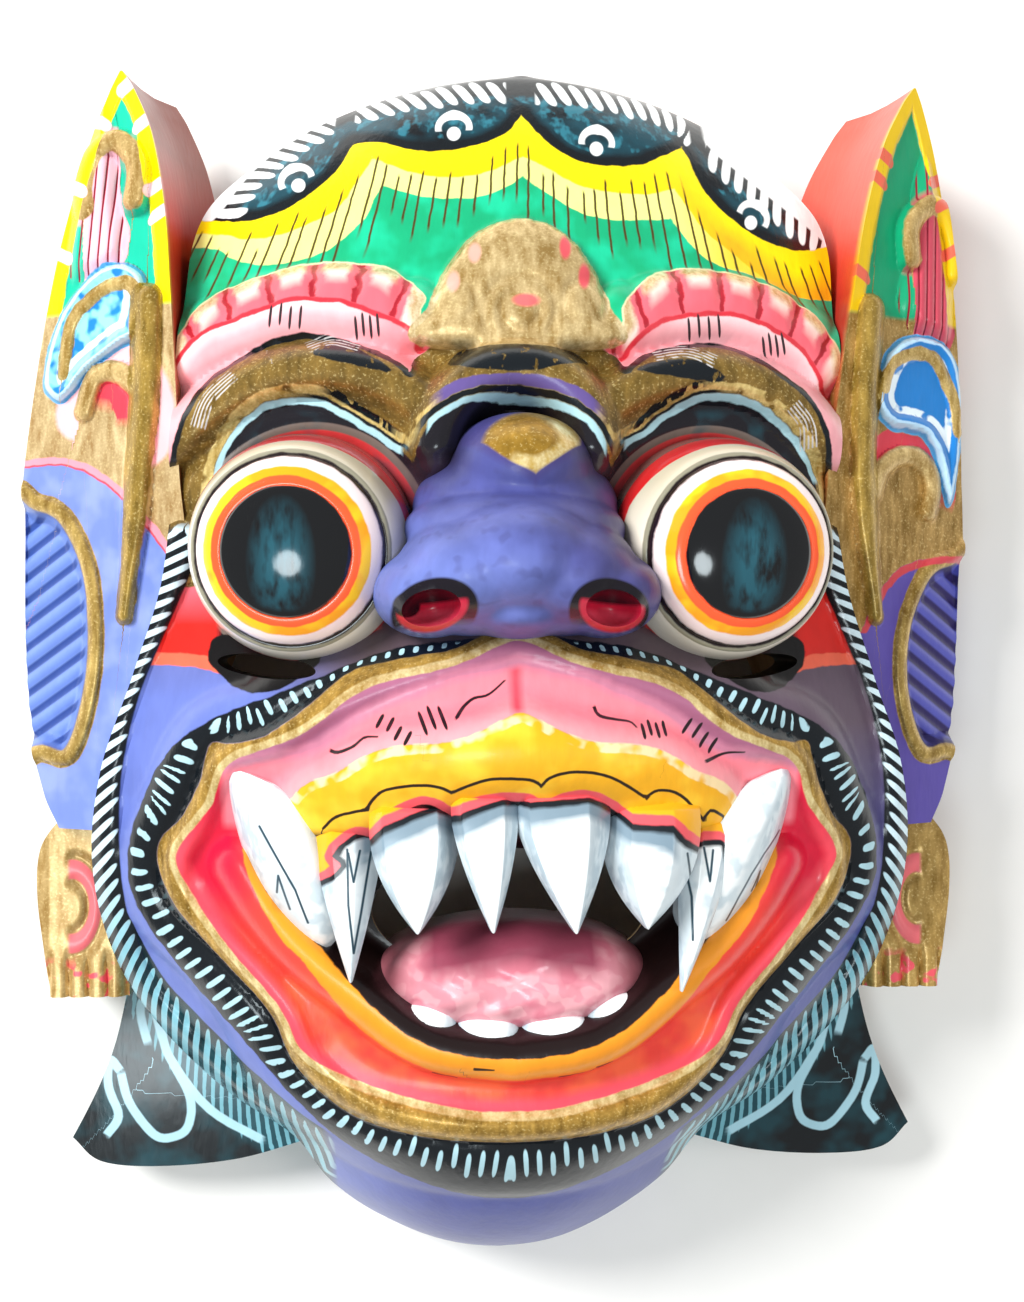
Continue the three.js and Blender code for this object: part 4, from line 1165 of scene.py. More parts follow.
def paint_brows(p):
    ax = p.ax
    under, top, y, x = p.guide("under_brow"), p.guide("brow_top"), p.y, p.x
    brow = under.over(0) * top.under(0)
    p.gold(brow, "#644e20", "#98793a")
    # A paler gold band along the lower edge of the ridge: painted highlight.
    p.gold(brow * under.within(0.8, 2.9) * p.wave.over(0.36, 0.1), "#b08f45", "#ead28a")
    p.coat(brow * under.within(1.8, 3.2) * ax.within(23, 38, 3) * p.brush.over(0.46, 0.06), ENAMEL_BLACK,
           0.25)
    p.coat(under.within(2.0, 4.2) * ax.under(16, 3), "#5d4c86", 0.35, 0.0)
    p.coat(under.within(0.7, 2.0) * ax.under(19.5, 2), ENAMEL_BLACK, 0.25, 0.0)
    p.coat(under.within(0.6, 1.3) * ax.over(20, 2) * ax.under(44, 8), ENAMEL_BLACK, 0.25, 0.0)
    # Teal clouds on the black crescent below the blue line: painted sheen, the teal highlights of glossy
    # black.
    painted_teal_sheen = under.within(-7.5, -2.6, 2) * p.cloud.over(0.56, 0.16) * ax.over(24, 6)
    p.coat(painted_teal_sheen * ax.under(56, 6) * 0.7, "#1f4a55", 0.2)
    p.coat(abs(under).under(0.65) * (ax.under(17.4, 0.6).high(ax.over(22, 0.8))) * y.over(39.5, 1), "#9fc4cc",
           0.3, 0.0)
    p.coat(top.within(-1.3, 0.5) * ax.over(20, 2), ENAMEL_BLACK, 0.25, 0.0)
    # Black lenses on the brows, and under the boss a black lens that is painted shadow of the boss.
    p.coat(p.guide("lens").under(0) * p.brush.over(0.34, 0.05), ENAMEL_BLACK, 0.25, 0.0)
    streak, share = p.guide("streak", 0.3), p.guide("streak_share", 0)
    hairs = (streak * 8.5).math("SINE").over(0.2, 0.6) * p.brush.over(0.42, 0.1)
    p.coat(abs(streak).under(1.7) * share.within(0.03, 0.97, 0.02) * hairs, "#b9b6b4", 0.35, 0.0)


def paint_crests(p):
    ax = p.ax
    top, arc, brow_top = p.guide("crest_top"), p.guide("crest_arc"), p.guide("brow_top")
    crest = top.under(0) * brow_top.over(0)
    p.coat(crest, "#f0a6ac", 0.35, 0.0)
    p.coat(crest * arc.under(0) * arc.over(-2.2, 2.5), "#f6c6c8")
    p.coat(crest * ax.under(30, 10) * arc.under(0), "#ee8d94")
    p.coat(crest * arc.over(0), "#ea6470")
    turn = (p.y - EYE[1]).math("ARCTAN2", ax - EYE[0]) * (180 / math.pi)
    lobes = abs(((turn - 50 + p.wobble * 2.5) * (math.pi * 7 / 68)).math("SINE"))
    p.coat(crest * arc.over(0.3) * lobes.over(0.72, 0.3) * top.over(-4.5, 3), "#f7d9cc")
    p.gold(crest * top.over(-2.4, 1.6) * lobes.over(0.55, 0.3), "#c79a58", "#fff0c8")
    p.coat(crest * arc.over(0.5) * lobes.under(0.2, 0.12), "#a31f2c")
    p.coat(abs(arc).under(0.5) * crest, "#cf2f3c")
    for middle_x, middle_y, turn, pitch in CREST_TICKS:
        p.coat(ticks(p, middle_x, middle_y, turn, pitch, 4, 4.6), "#33262a", 0.3)
    p.coat(top.within(-0.35, 0.5) * brow_top.over(2), "#efe3b4", 0.35, 0.2)


# %% Crown, boss and comb
def paint_crown(p):
    ax = p.ax
    black, pale, green = p.guide("crown_black"), p.guide("crown_pale"), p.guide("crown_green")
    crest_top, x, y = p.guide("crest_top"), p.x, p.y
    field = crest_top.over(0)
    p.coat(field, "#12a470", 0.4, 0.0)
    p.coat(field * p.cloud.over(0.56, 0.2), "#17b98a")
    p.coat(field * green.over(0), "#ecef8a")
    p.coat(field * x.over(38, 14) * green.over(0), "#f0d23a")
    p.coat(field * pale.over(0), "#ffe000")
    p.coat(field * pale.over(0) * x.over(34, 20) * pale.under(4, 4), "#f2b416")
    # Thin hatching that fans out a little over the yellow and the green.
    fan = x * (1 + (y - 90) * 0.006) + p.wobble * 0.5
    phase = fan * (1 / 2.9)
    number = phase.floor()
    chance, other = number.chance(), (number + 37.5).chance()
    beside_it = abs(phase - number - 0.5 + (chance - 0.5) * 0.3) * 2.9
    start, end = -2.0 - other * 5, -13 - chance * 8
    reach = (black - start).under(0, 1.2) * (black - end).over(0, 2.0)
    p.coat(field * reach * beside_it.under(0.25, 0.22), "#4a3a14", 0.35)
    # The black top with its clouded panels, white comb and moons.
    top = black.over(0)
    p.coat(field * top, ENAMEL_BLACK, 0.2)
    cloud = p.cloud.over(0.44, 0.2) * black.over(2.6, 1.6)
    comb, run = p.guide("comb", 0.4), p.guide("comb_run", 0)
    panel = comb.under(-3.5, 1.5)
    p.coat(top * cloud * panel, "#16404c", 0.22)
    p.coat(top * (p.brush * 0.5 + p.wave * 0.5).over(0.56, 0.1) * panel * black.over(3), "#2c7080")
    tooth = dashes(p, run, comb, 3.55, 0.5, 2.3, -5.4, 1.2, 0.5)
    seam = abs(x + 0.5).over(3.2, 0.6) * abs(x + 37.6).over(2.2, 0.6) * abs(x - 38.4).over(1.8, 0.6)
    p.coat(top * tooth * seam, "#f2f5f4", 0.35)
    side = x.under(-39, 1).high(x.over(40, 1))
    p.coat(top * side * comb.over(-0.4, 0.5), "#f2f5f4", 0.35)
    for cx, cy, turn in MOONS:
        a = math.radians(turn)
        across = (x - cx) * math.cos(a) + (y - cy) * math.sin(a)
        up = (y - cy) * math.cos(a) - (x - cx) * math.sin(a)
        radius = p.distance(across, up)
        thick = 1.35 - abs(across) * 0.22
        arch = (abs(radius - 3.4) - thick).under(0, 0.3) * up.over(-0.7, 0.4)
        dot = (across * across * 0.5 + (up + 1.5) * (up + 1.5) * 0.34).under(1, 0.4)
        p.coat((arch.high(dot)) * top, "#f4f6f4", 0.35)


def paint_boss(p):
    x, y = p.x, p.y
    boss = p.guide("boss")
    on = boss.under(0.3) * y.over(64.5, 0.6)
    p.gold(on, "#a8864a", "#e6cc96")
    rim = boss.within(-0.9, 0.4) * y.over(66)
    p.gold(rim, "#a58038", "#f2deb0")
    p.coat(((x - 1) * (x - 1) * 0.14 + (y - 74) * (y - 74) * 0.5).under(1, 0.9) * on, "#e26a6a", 0.35, 0.0)
    for cx, cy in ((8.6, 85.5), (12.6, 79.5)):
        p.coat(((x - cx) * (x - cx) * 0.7 + (y - cy) * (y - cy) * 0.14).under(1, 0.9) * on, "#d9545c", 0.35,
               0.0)
    # The curls on the left are a paler pink: painted light on the side nearer the lamp.
    for cx, cy in ((-9.5, 84), (-13.5, 78)):
        p.coat(((x - cx) * (x - cx) * 0.6 + (y - cy) * (y - cy) * 0.2).under(1, 0.9) * on, "#d9a090", 0.35,
               0.0)


# %% Lips, gums and beard band
def paint_mouth(p):
    ax = p.ax
    x, y = p.x, p.y
    rim_in, rim_out = p.guide("rim_in", 0.5), p.guide("rim_out", 0.5)
    inside = rim_in.under(0)
    p.coat(inside, "#ef4338", 0.35, 0.0)
    p.coat(inside * y.under(-60, 10) * p.cloud.over(0.5, 0.2), "#f2603c")
    p.coat(inside * ax.over(52, 8) * y.over(-48, 12), "#d91a3c")
    p.coat(inside * rim_in.over(-2.6, 2) * y.under(-30, 10), "#f04a5a")
    upper = inside * y.over(-30, 2) * ax.under(57, 1.5)
    mauve, gum = p.guide("mauve_low"), p.guide("gum_top")
    p.coat(inside * p.guide("lower_gum_low").over(0) * y.under(-24, 8), "#ee9420")
    p.coat(inside * p.guide("lower_gum_top").over(0) * y.under(-24, 8), "#1a0d0d")
    p.coat(inside * gum.under(0) * ax.under(47, 3) * y.over(-44, 6), "#140c0c")
    p.coat(upper * gum.over(0), "#f2808c")
    p.coat(upper * gum.over(0) * gum.under(2.4, 3), "#f59aa0")
    p.coat(upper * gum.over(0) * abs(x + 0.5).under(1.0, 1.6) * y.within(-7, 2, 2), "#d9505e")
    p.coat(upper * mauve.over(0), "#a0607c")
    p.coat(upper * mauve.over(-1.4, 1.6) * mauve.under(0.8, 1.2), "#c07890")
    low = p.guide("gum_low", 0.5)
    p.coat(upper * gum.under(0) * low.over(0), "#efac1c", 0.4)
    p.coat(upper * gum.under(0) * low.over(0) * p.cloud.over(0.55, 0.2), "#f0c030")
    p.coat(upper * gum.within(-1.6, 0.3) * p.wave.over(0.5, 0.15), "#f6d8a4")
    p.coat(abs(p.guide("scallop", 0.3)).under(0.3, 0.2) * gum.under(0) * low.over(0), "#241812", 0.3)
    p.coat(low.within(-0.2, 1.5) * gum.under(0) * ax.under(41), "#ec5a62")
    p.coat(low.within(-1.4, -0.2) * gum.under(0) * ax.under(41), "#12090a", 0.25)
    for name, colour in (("lip_mark", "#211518"), ("gum_mark", "#2a1c10")):
        mark, share = p.guide(name, 0.12), p.guide(name + "_share", 0)
        thick = abs(mark) - 0.16 - (1 - share) * 0.2
        p.coat(thick.under(0, 0.18) * share.within(0.02, 0.98, 0.02), colour, 0.3)
    for middle_x, middle_y, turn, pitch, count, length in LIP_TICKS:
        p.coat(ticks(p, middle_x, middle_y, turn, pitch, count, length, 0.36), "#211518", 0.3)
    # Gold rim, black band with its strokes, and the darker seam beside them.
    band = rim_out.over(0) * p.guide("band_out").under(0)
    p.coat(band, ENAMEL_BLACK, 0.22)
    reach = rim_out / (rim_out - p.guide("band_out", 0.5)).high(0.3)
    low_reach = 0.34 - y.under(-70, 30) * 0.22
    high_reach = 0.86 - y.under(-88, 20) * 0.3
    run = p.guide("rim_run", 0)
    bars = dashes(p, run, reach, 2.75, 0.9, 1.05, low_reach, high_reach, 0.1)
    p.coat(band * bars * y.under(6.2, 0.5), "#a9cdd6", 0.3)
    p.gold(rim_in.over(0) * rim_out.under(0), "#80601f", "#caa04c")
    p.gold(rim_in.within(-0.2, 1.3) * rim_out.under(0), "#b8934a", "#f2dea4")


def paint_edges(p):
    """The rope band down the side of the face, which widens into the painted beard."""
    y, ax, rope, run = p.y, p.ax, p.guide("rope", 0.25), p.guide("rope_run", 0)
    beard = y.under(-66, 34)
    inner = -3.9 - beard * 6.0
    on = (rope - inner).over(0) * y.under(30, 2) * p.guide("band_out").over(0.6) * ax.over(37, 3)
    p.coat(on, ENAMEL_BLACK, 0.25, 0.0)
    p.coat(on * beard * p.cloud.over(0.4, 0.3), "#134048")
    strands = dashes(p, run, rope, ROPE_PITCH, -0.95, 1.75, -3.3 - beard * 5.5, 3.2 + beard * 2.0, 0.5)
    p.coat(on * strands, WHITE_BLUE, 0.3)
    p.coat(on * strands * y.under(-46, 24), "#7fb9c6", 0.3)


# %% [markdown]
# ## The face's finishes
# A painter does each part of the face in its own few steps, and so does the shader: a place in the
# lips need not ask after the crown's lines, which keeps the drawing quick. The crown, the brows, the
# lips and the cheeks each take only the steps that show there, and along their borders a seam takes
# all the steps of both sides, so nothing shows where they meet. What lies deep behind the carved
# front, or looks backwards, is the bare wood of the hollow, with a long soft grain.

# %% Areas of the face
SPLIT_Y, SEAM, WOOD_DEPTH = 14.0, 2.5, 9.5
FACE_STEPS = {
    "crown_enamel": (paint_crown, paint_boss),
    "brow_enamel": (paint_grounds, paint_brows, paint_crests, paint_boss, paint_edges),
    "upper_seam_enamel": (paint_grounds, paint_brows, paint_crests, paint_crown, paint_boss, paint_edges),
    "lip_enamel": (paint_mouth,),
    "cheek_enamel": (paint_grounds, paint_edges),
    "lower_seam_enamel": (paint_grounds, paint_mouth, paint_edges),
}
face.data.materials.clear()
for name, steps in FACE_STEPS.items():
    area_paint = Finish(name, "#5c4c5a", 0.4)
    for step in steps:
        step(area_paint)
    area_paint.aged()
    area_paint.done(coat=0.12)
    face.data.materials.append(area_paint.material)

# %% Bare wood and who takes what
wood_paint = Finish("bare_wood", "#cda676", 0.75)
grain = wood_paint.noise(0.22, detail=5, stretch=(1, 0.08, 1), shift=9.0)
wood_paint.coat(grain.over(0.5, 0.5), "#e0c394")
wood_paint.coat(wood_paint.noise(0.05, 2, stretch=(1, 0.15, 1), shift=4.0).over(0.55, 0.2) * 0.5, "#a67a4a")
wood_paint.done(bump=0.5, depth_mm=0.4)
face.data.materials.append(wood_paint.material)
sunk = block_height(fx, fy) - fz
crest, rim, band = (face_numbers[name] for name in ("crest_top", "rim_in", "band_out"))


def area_of(corners, normal):
    """The name of the finish that one face of the mesh takes."""
    if sunk[corners].min() > WOOD_DEPTH and normal.z < 0.2 or normal.z < -0.5:
        return "bare_wood"
    if fy[corners].mean() >= SPLIT_Y:
        if crest[corners].min() > SEAM:
            return "crown_enamel"
        return "brow_enamel" if crest[corners].max() < -SEAM else "upper_seam_enamel"
    if rim[corners].max() < -SEAM:
        return "lip_enamel"
    return "cheek_enamel" if band[corners].min() > SEAM else "lower_seam_enamel"


order = [*FACE_STEPS, "bare_wood"]
areas = [order.index(area_of(list(f.vertices), f.normal)) for f in face.data.polygons]
face.data.polygons.foreach_set("material_index", areas)
print({name: areas.count(order.index(name)) for name in order})

# %% [markdown]
# ## Nose, eyes, teeth and tongue
# The nose is one violet-blue coat, rubbed lighter where the brush ran dry, with painted light on its
# lower left and painted shade on its upper right, black nostril lines and a gold spot on the knob. The
# eyes are painted in rings on the turned disc, so each vertex carries its radius and height on the
# eye's own axis. The teeth are white, with grey-blue painted shade on their side faces and roots, and
# a few thin drawn lines.

# %% Nose
def ellipse(p, cx, cy, half_x, half_y, turn=0.0, mirror=False):
    """1 on an ellipse's edge, less inside it; both sides of the face at once if mirrored."""
    x = abs(p.x) if mirror else p.x
    a = math.radians(turn)
    across = (x - cx) * math.cos(a) + (p.y - cy) * math.sin(a)
    up = (p.y - cy) * math.cos(a) - (x - cx) * math.sin(a)
    across, up = across / half_x, up / half_y
    return p.distance(across, up)


nose_paint = Finish("nose_enamel", "#474b88", 0.48)
p = nose_paint
p.coat(p.cloud.over(0.5, 0.3) * p.y.under(30, 20), "#5860a2")
# Lighter on the lower left and darker on the upper right: painted light and painted shade.
p.coat(p.x.under(-2, 26) * p.y.under(26, 16), "#6573b4")
p.coat(p.x.over(12, 20) * p.y.over(14, 20), "#403868")
p.coat(p.wave.over(0.66, 0.12) * 0.35, "#3f3f70")
p.coat(p.y.over(38, 8) * abs(p.x - 1).over(11, 4), "#2c2844")
spot = ellipse(p, 2.4, 44.6, 9.4, 6.4, 12) * (1 + (44 - p.y).high(0) * (abs(p.x - 3) * 0.02))
p.coat(spot.within(0.8, 1.35, 0.4) * 0.5, "#403064")
p.gold(spot.under(1, 0.12), "#8f6d22", "#b88e36")
p.gold(spot.within(0.55, 1.02, 0.16) * (p.x - p.y).over(-42, 3), "#cfa94e", "#f4e6b4")
hole = ellipse(p, 16.6, 12.4, 6.2, 4.0, -12, mirror=True)
arch = ellipse(p, 16.2, 11.8, 8.0, 6.0, -12, mirror=True)
p.coat(arch.under(1.0, 0.08) * (p.y + abs(p.x) * 0.1).over(11, 1.4), "#120d16", 0.25)
within = p.y + abs(p.x) * 0.1
p.coat(hole.under(1.05, 0.12) * within.under(15.2, 0.8), "#cf2040", 0.3)
p.coat(hole.under(0.75, 0.3) * within.under(13.6, 1.2), "#f0506a", 0.3)
p.coat(ellipse(p, -21.2, 13.0, 2.6, 2.2).under(1, 0.2), "#120d16", 0.25)
p.aged(0.2)
p.done(nose, coat=0.1)

# %% Eyes
EYE_FRONT = 22
RINGS = {"black": 18.6, "white": 17.75, "orange": 15.9, "red": 14.2, "pupil": 12.4}
for side, ball in eyes.items():
    flat = np.array([eye_frame(side).inverted() @ (v.co / MM) for v in ball.data.vertices])
    carry(ball, eye_r=np.hypot(flat[:, 0], flat[:, 1]), eye_h=flat[:, 2])
eye_paint = Finish("eye_enamel", "#6f6058", 0.22)
p = eye_paint
r, h = p.guide("eye_r", 0.6), p.guide("eye_h", 0.5)
p.coat(h.over(9.5, 0.5), "#cf2426", 0.3)
lid = h - p.y.over(38, 10) * 3.0
p.coat(lid.over(14.2, 0.5), "#ebe2d2", 0.3)
p.coat(lid.over(14.2, 0.5) * p.y.over(30, 16), "#c8bea6")
# A thin grey-green band just outside the disc's step: painted shadow under the disc.
p.coat(h.over(21.9, 0.4), "#8f8a76", 0.3)
p.coat(r.under(RINGS["black"], 0.3) * h.over(EYE_FRONT), "#1e1012", 0.25)
p.coat(r.under(RINGS["white"]) * h.over(EYE_FRONT), "#f3dfdc", 0.22)
p.coat(r.under(RINGS["orange"]) * h.over(EYE_FRONT), "#f6a012", 0.22)
p.coat(r.under(RINGS["orange"]) * h.over(EYE_FRONT) * p.cloud.over(0.54, 0.1), "#f8c21c")
p.coat(r.under(RINGS["red"]) * h.over(EYE_FRONT), "#f0562c", 0.22)
p.coat(r.under(RINGS["pupil"], 0.2) * h.over(EYE_FRONT), "#090b0e", 0.1)
# A teal patch in each pupil where a window shows in the gloss: partly brushy teal lacquer, partly a painted
# reflection.
reflection_spot = ellipse(p, 44.5, 21, 4.6, 9, 0, mirror=True).under(1, 0.9)
brushed_teal_and_reflection = reflection_spot * (p.brush * 0.7 + p.cloud * 0.3).over(0.44, 0.22)
p.coat(brushed_teal_and_reflection * r.under(11, 1) * h.over(EYE_FRONT), "#1d4f5c", 0.12)
p.done(*eyes.values(), bump=0.12, coat=0.55)


# %% Teeth
def segment(p, a, b):
    """Distance in millimetres from a straight drawn line."""
    dx, dy = b[0] - a[0], b[1] - a[1]
    x, y = p.x - a[0], p.y - a[1]
    share = (x * (dx / (dx**2 + dy**2)) + y * (dy / (dx**2 + dy**2))).math("ADD", 0, clamp=True)
    x, y = x - share * dx, y - share * dy
    return p.distance(x, y)


TOOTH_LINES = [
    [(-32.4, -33.3), (-32.2, -44), (-31.2, -53.4), (-29.8, -45.7), (-27.9, -34)],
    [(-32.2, -34), (-31.2, -39.5), (-30, -33.6)],
    [(32.3, -34), (34.1, -43), (34.4, -51.5)], [(36.4, -33.5), (37.6, -40), (38.2, -34)],
    [(-49.2, -29), (-45.2, -36.2), (-42.4, -41.3), (-40.1, -48)],
    [(-46.1, -42.1), (-45.7, -38.6), (-43.6, -45.4)],
    [(53, -31.1), (49.2, -35.4), (46.6, -39.2), (44.2, -43.9), (42.2, -48.7)],
    [(47.4, -43), (48.8, -38.9), (48.3, -43.6)],
]
lower_teeth, NO_ROOT = teeth[8:], -30.0
for piece in teeth[:8]:
    tx, ty = spots(piece)[:2]
    rooted = piece in teeth[:6]
    carry(piece, root=beside(GUM_LOW, tx, ty, spans=True)[0] if rooted else np.full(tx.shape, NO_ROOT))
for (tooth_x, tooth_y, half), piece in zip(LOWER_TEETH, lower_teeth):
    tx, ty = spots(piece)[:2]
    carry(piece, root=np.full(tx.shape, NO_ROOT),
          down=(tooth_y - ty) / LOWER_TALL - 0.12 * ((tx - tooth_x) / half) ** 2)
tooth_paint = Finish("tooth_enamel", "#f4f8f8", 0.3)
p = tooth_paint
facing = p.start.node("NewGeometry", {}, {}, out="Normal")
nx = facing.node("SeparateXYZ", {}, {0: facing})
# Faces of the teeth turned aside, found by their normal, take a grey-blue: painted shade.
painted_side_shade = abs(nx).over(0.56, 0.3)
p.coat(painted_side_shade, "#b2c3cc")
p.coat(painted_side_shade * p.brush.over(0.52, 0.16), "#d3dfe4")
p.coat(p.wave.over(0.56, 0.16) * abs(p.x).over(26, 4), "#cfdbe0")
root = p.guide("root", 0.5)
middle = abs(p.x).under(30, 2)
# A grey-blue band at the roots of the middle teeth: painted shade under the gum.
p.coat(root.over(-3.4, 1.6) * middle, "#7d92a0")
p.coat(root.over(-1.0, 0.6), "#141a20")
p.coat(root.over(0.1, 0.3), "#ec5a62")
p.coat(root.over(1.5, 0.3), "#efac1c")
line_distance = None
for line in TOOTH_LINES:
    for a, b in zip(line, line[1:]):
        d = segment(p, a, b)
        line_distance = d if line_distance is None else line_distance.low(d)
p.coat(line_distance.under(0.24, 0.2), "#22404e")
p.coat(p.guide("down", 0).over(0.6, 0.12), "#0e0b0d")
p.aged(0.05)
p.done(*teeth, bump=0.25, coat=0.3)

# %% Tongue
tongue_paint = Finish("tongue_enamel", "#dc8f9b", 0.34)
p = tongue_paint
p.coat(p.wave.over(0.5, 0.06), "#e6a3ab")
p.coat(p.cloud.over(0.52, 0.08), "#cf7686")
back = (p.y + abs(p.x) * 0.16).over(-56.5, 4)
p.coat(back * abs(p.x).under(18, 5), "#8c3f52")
p.coat(p.y.under(-70, 3), "#e8b2b8")
p.coat(abs(p.x).over(21, 5) * p.y.over(-64, 6), "#a9606a")
p.aged(0.12)
p.done(tongue, coat=0.4)

# %% [markdown]
# ## Paint on the ears, lobes and tufts
# The ears carry the same colours on both sides, so one finish serves both, with guides measured from
# each ear's own lines; the left ear takes paler copies of the colours as painted light. The painter's
# yellow border, green field, rose petal, blue scroll and gold curls sit exactly on the carved forms,
# because the same lines shaped the wood.

# %% Ears
EAR_BELT = {
    1: [(76, 10), (80, 17), (84.4, 21.5), (88.9, 23.7), (95.7, 25.3), (106, 25.8)],
    -1: [(66, 22), (73.5, 31.6), (79.1, 37.6), (84.9, 42.1), (92, 45.1), (99.2, 45.5), (106, 45)],
}
EAR_NOTCHES = {1: [(110.5, 1), (105.5, 1), (85, 1), (107.4, -1), (102, -1), (92, -1)],
               -1: [(123, 1), (114.7, 1), (101, 1), (95.3, 1), (115.8, -1), (102, -1), (89, -1)]}


def ear_guides(side, x, y, z):
    lines = EAR_LINES[side]
    inner, outer = x - ear_inner(y), ear_outer(y) - x
    numbers = {
        "ear_in": inner, "ear_out": outer, "ear_deep": 47 - 19 * (x - 72) / 30 - z,
        "ear_side": np.full(x.shape, float(side)), "belt": beside(EAR_BELT[side], x, y)[0],
        "shell": beside(shell_line(side), x, y, closed=True)[0], "drop": beside(DROP, x, y)[0],
        "drop_run": beside(DROP, x, y)[1],
    }
    for name in ("lotus", "scroll"):
        numbers[name], _ = beside(lines[name], x, y, closed=True)
    for name in ("cap", "wave", "flower"):
        numbers[name], numbers[name + "_run"] = beside(lines[name], x, y)
    notch = np.full(x.shape, 9.0)
    for at, edge in EAR_NOTCHES[side]:
        near = inner if edge > 0 else outer
        notch = np.minimum(notch, np.hypot((y - at + near * 0.5) / 1.25, np.maximum(near - 2.6, 0) / 1.4))
    return {**numbers, "notch": notch}


for side, ear_piece in ears.items():
    ex, ey, ez = spots(ear_piece)
    carry(ear_piece, **ear_guides(side, side * ex, ey, ez))

ear_paint = Finish("ear_enamel", "#5a4ba2", 0.4)
p = ear_paint
side, y = p.guide("ear_side", 0), p.y
# left marks the left ear, whose extra coats below are paler copies of the colours: painted light.
left = side.under(0)
ax = abs(p.x)
belt, shell = p.guide("belt"), p.guide("shell", 0.5)
# The left ear's ground is a paler blue: painted light on the ear nearer the lamp.
p.coat(left, "#7084cc")
p.coat(p.cloud.over(0.56, 0.2) * left, "#8494d4")
p.coat(shell.under(0), "#30265c")
grooves = ((y * 0.83 + ax * 0.55) * (2 * math.pi / 4.2)).math("COSINE")
p.coat(shell.under(-2.4, 1) * grooves.over(-0.1, 0.7), "#5a5cb4")
# The left shell is a paler blue: painted light.
p.coat(shell.under(-1.6, 1.6) * left, "#6b86cc")
p.coat(shell.under(-2.4, 1) * left * grooves.under(-0.45, 0.5), "#31498c")
p.gold(abs(shell - 0.3).under(1.9), "#8a6a28", "#cfae62")
p.gold(belt.over(0), "#8a6828", "#cfa866")
# Paler gold on the left belt: painted light.
p.gold(belt.over(0) * left, "#b48e58", "#ecd4a0")
p.coat(belt.within(-1.6, 0), "#c8404a", 0.35, 0.0)
# Paler pink on the left belt's edge: painted light.
p.coat(belt.within(-1.2, 0.2) * left, "#f090a0", 0.35, 0.0)
flower, lotus, scroll = p.guide("flower"), p.guide("lotus"), p.guide("scroll")
p.coat(flower.within(1.2, 6.5) * scroll.over(0.2) * p.guide("flower_run", 0).within(2, 26, 3), "#d83c4c",
       0.35, 0.0)
p.coat(flower.within(-9, -1.2) * flower.over(-6.5, 1) * belt.over(2) * left, "#f4b8bc", 0.35, 0.0)
leaf = y.over(76, 1) * p.guide("ear_deep", 0).under(6, 1)
p.coat(leaf * scroll.over(0.2), "#12986a", 0.4, 0.0)
# Lighter green on the left leaf: painted light.
p.coat(leaf * scroll.over(0.2) * left, "#12b896", 0.4, 0.0)
p.coat(lotus.under(0) * p.guide("cap").under(3, 1.5), "#cc4a5c", 0.35, 0.0)
# Pale pink on the left lotus: painted light.
p.coat(lotus.under(0) * p.guide("cap").under(3, 1.5) * left, "#f3b6c4", 0.35, 0.0)
flutes = abs(((ax - 88 + (y - 70) * 0.05) * 1.45).math("SINE"))
p.coat(lotus.under(-0.4) * flutes.under(0.3, 0.14) * y.under(112, 8), "#8e1c30")
p.gold(abs(p.guide("cap")).under(2.3), "#9a7430", "#e0c080")
border = p.guide("ear_in").low(p.guide("ear_out"))
p.coat(border.under(3.3) * leaf, "#e9c010", 0.38, 0.0)
# Brighter yellow on the left border: painted light.
p.coat(border.under(3.3) * leaf * left, "#fdea00", 0.38, 0.0)
p.coat(p.guide("notch", 0.2).under(1, 0.2) * leaf * border.under(4.6), "#e86850", 0.38, 0.0)
# Pale pink notches on the left: painted light.
p.coat(p.guide("notch", 0.2).under(1, 0.2) * leaf * border.under(4.6) * left, "#fbdce4", 0.38, 0.0)
on_scroll = scroll.under(0)
p.coat(on_scroll, "#b9dcf4", 0.3, 0.0)
p.coat(scroll.within(-0.7, 0.1), "#4f9fd4", 0.3, 0.0)
p.coat(scroll.under(-2.0), "#1c7cc8", 0.3, 0.0)
# Paler blue waves in the left scroll: painted light.
p.coat(scroll.under(-2.0) * left * p.wave.over(0.45, 0.15), "#8fdcec", 0.3, 0.0)
p.coat(scroll.within(-5.2, -3.6) * p.wave.over(0.4, 0.1), "#e8f4fa", 0.3, 0.0)
p.gold(abs(p.guide("wave")).under(1.4) * on_scroll, "#a07c34", "#e0c27c")
p.gold(abs(flower).under(2.2), "#9a7430", "#e6c88a")
drop = abs(p.guide("drop")) - (3.5 - p.guide("drop_run", 0).within(40, 90, 30) * 1.4)
p.gold(drop.under(0), "#7c6222", "#bc9a48")
wall = p.guide("ear_in", 0).under(-0.15).high(p.guide("ear_deep", 0).over(7.2) * y.over(30, 4))
p.coat(wall, "#d8503c", 0.4, 0.0)
p.coat(wall * y.under(88, 14), "#b83226")
p.coat(wall * left * y.within(70, 104, 14), "#cc2c14")
p.coat(wall * left * y.over(104, 16), "#8a3420")
p.gold(wall * y.under(62, 8), "#7c5a20", "#b08c46")
p.aged(0.12)
p.done(*ears.values(), coat=0.15)

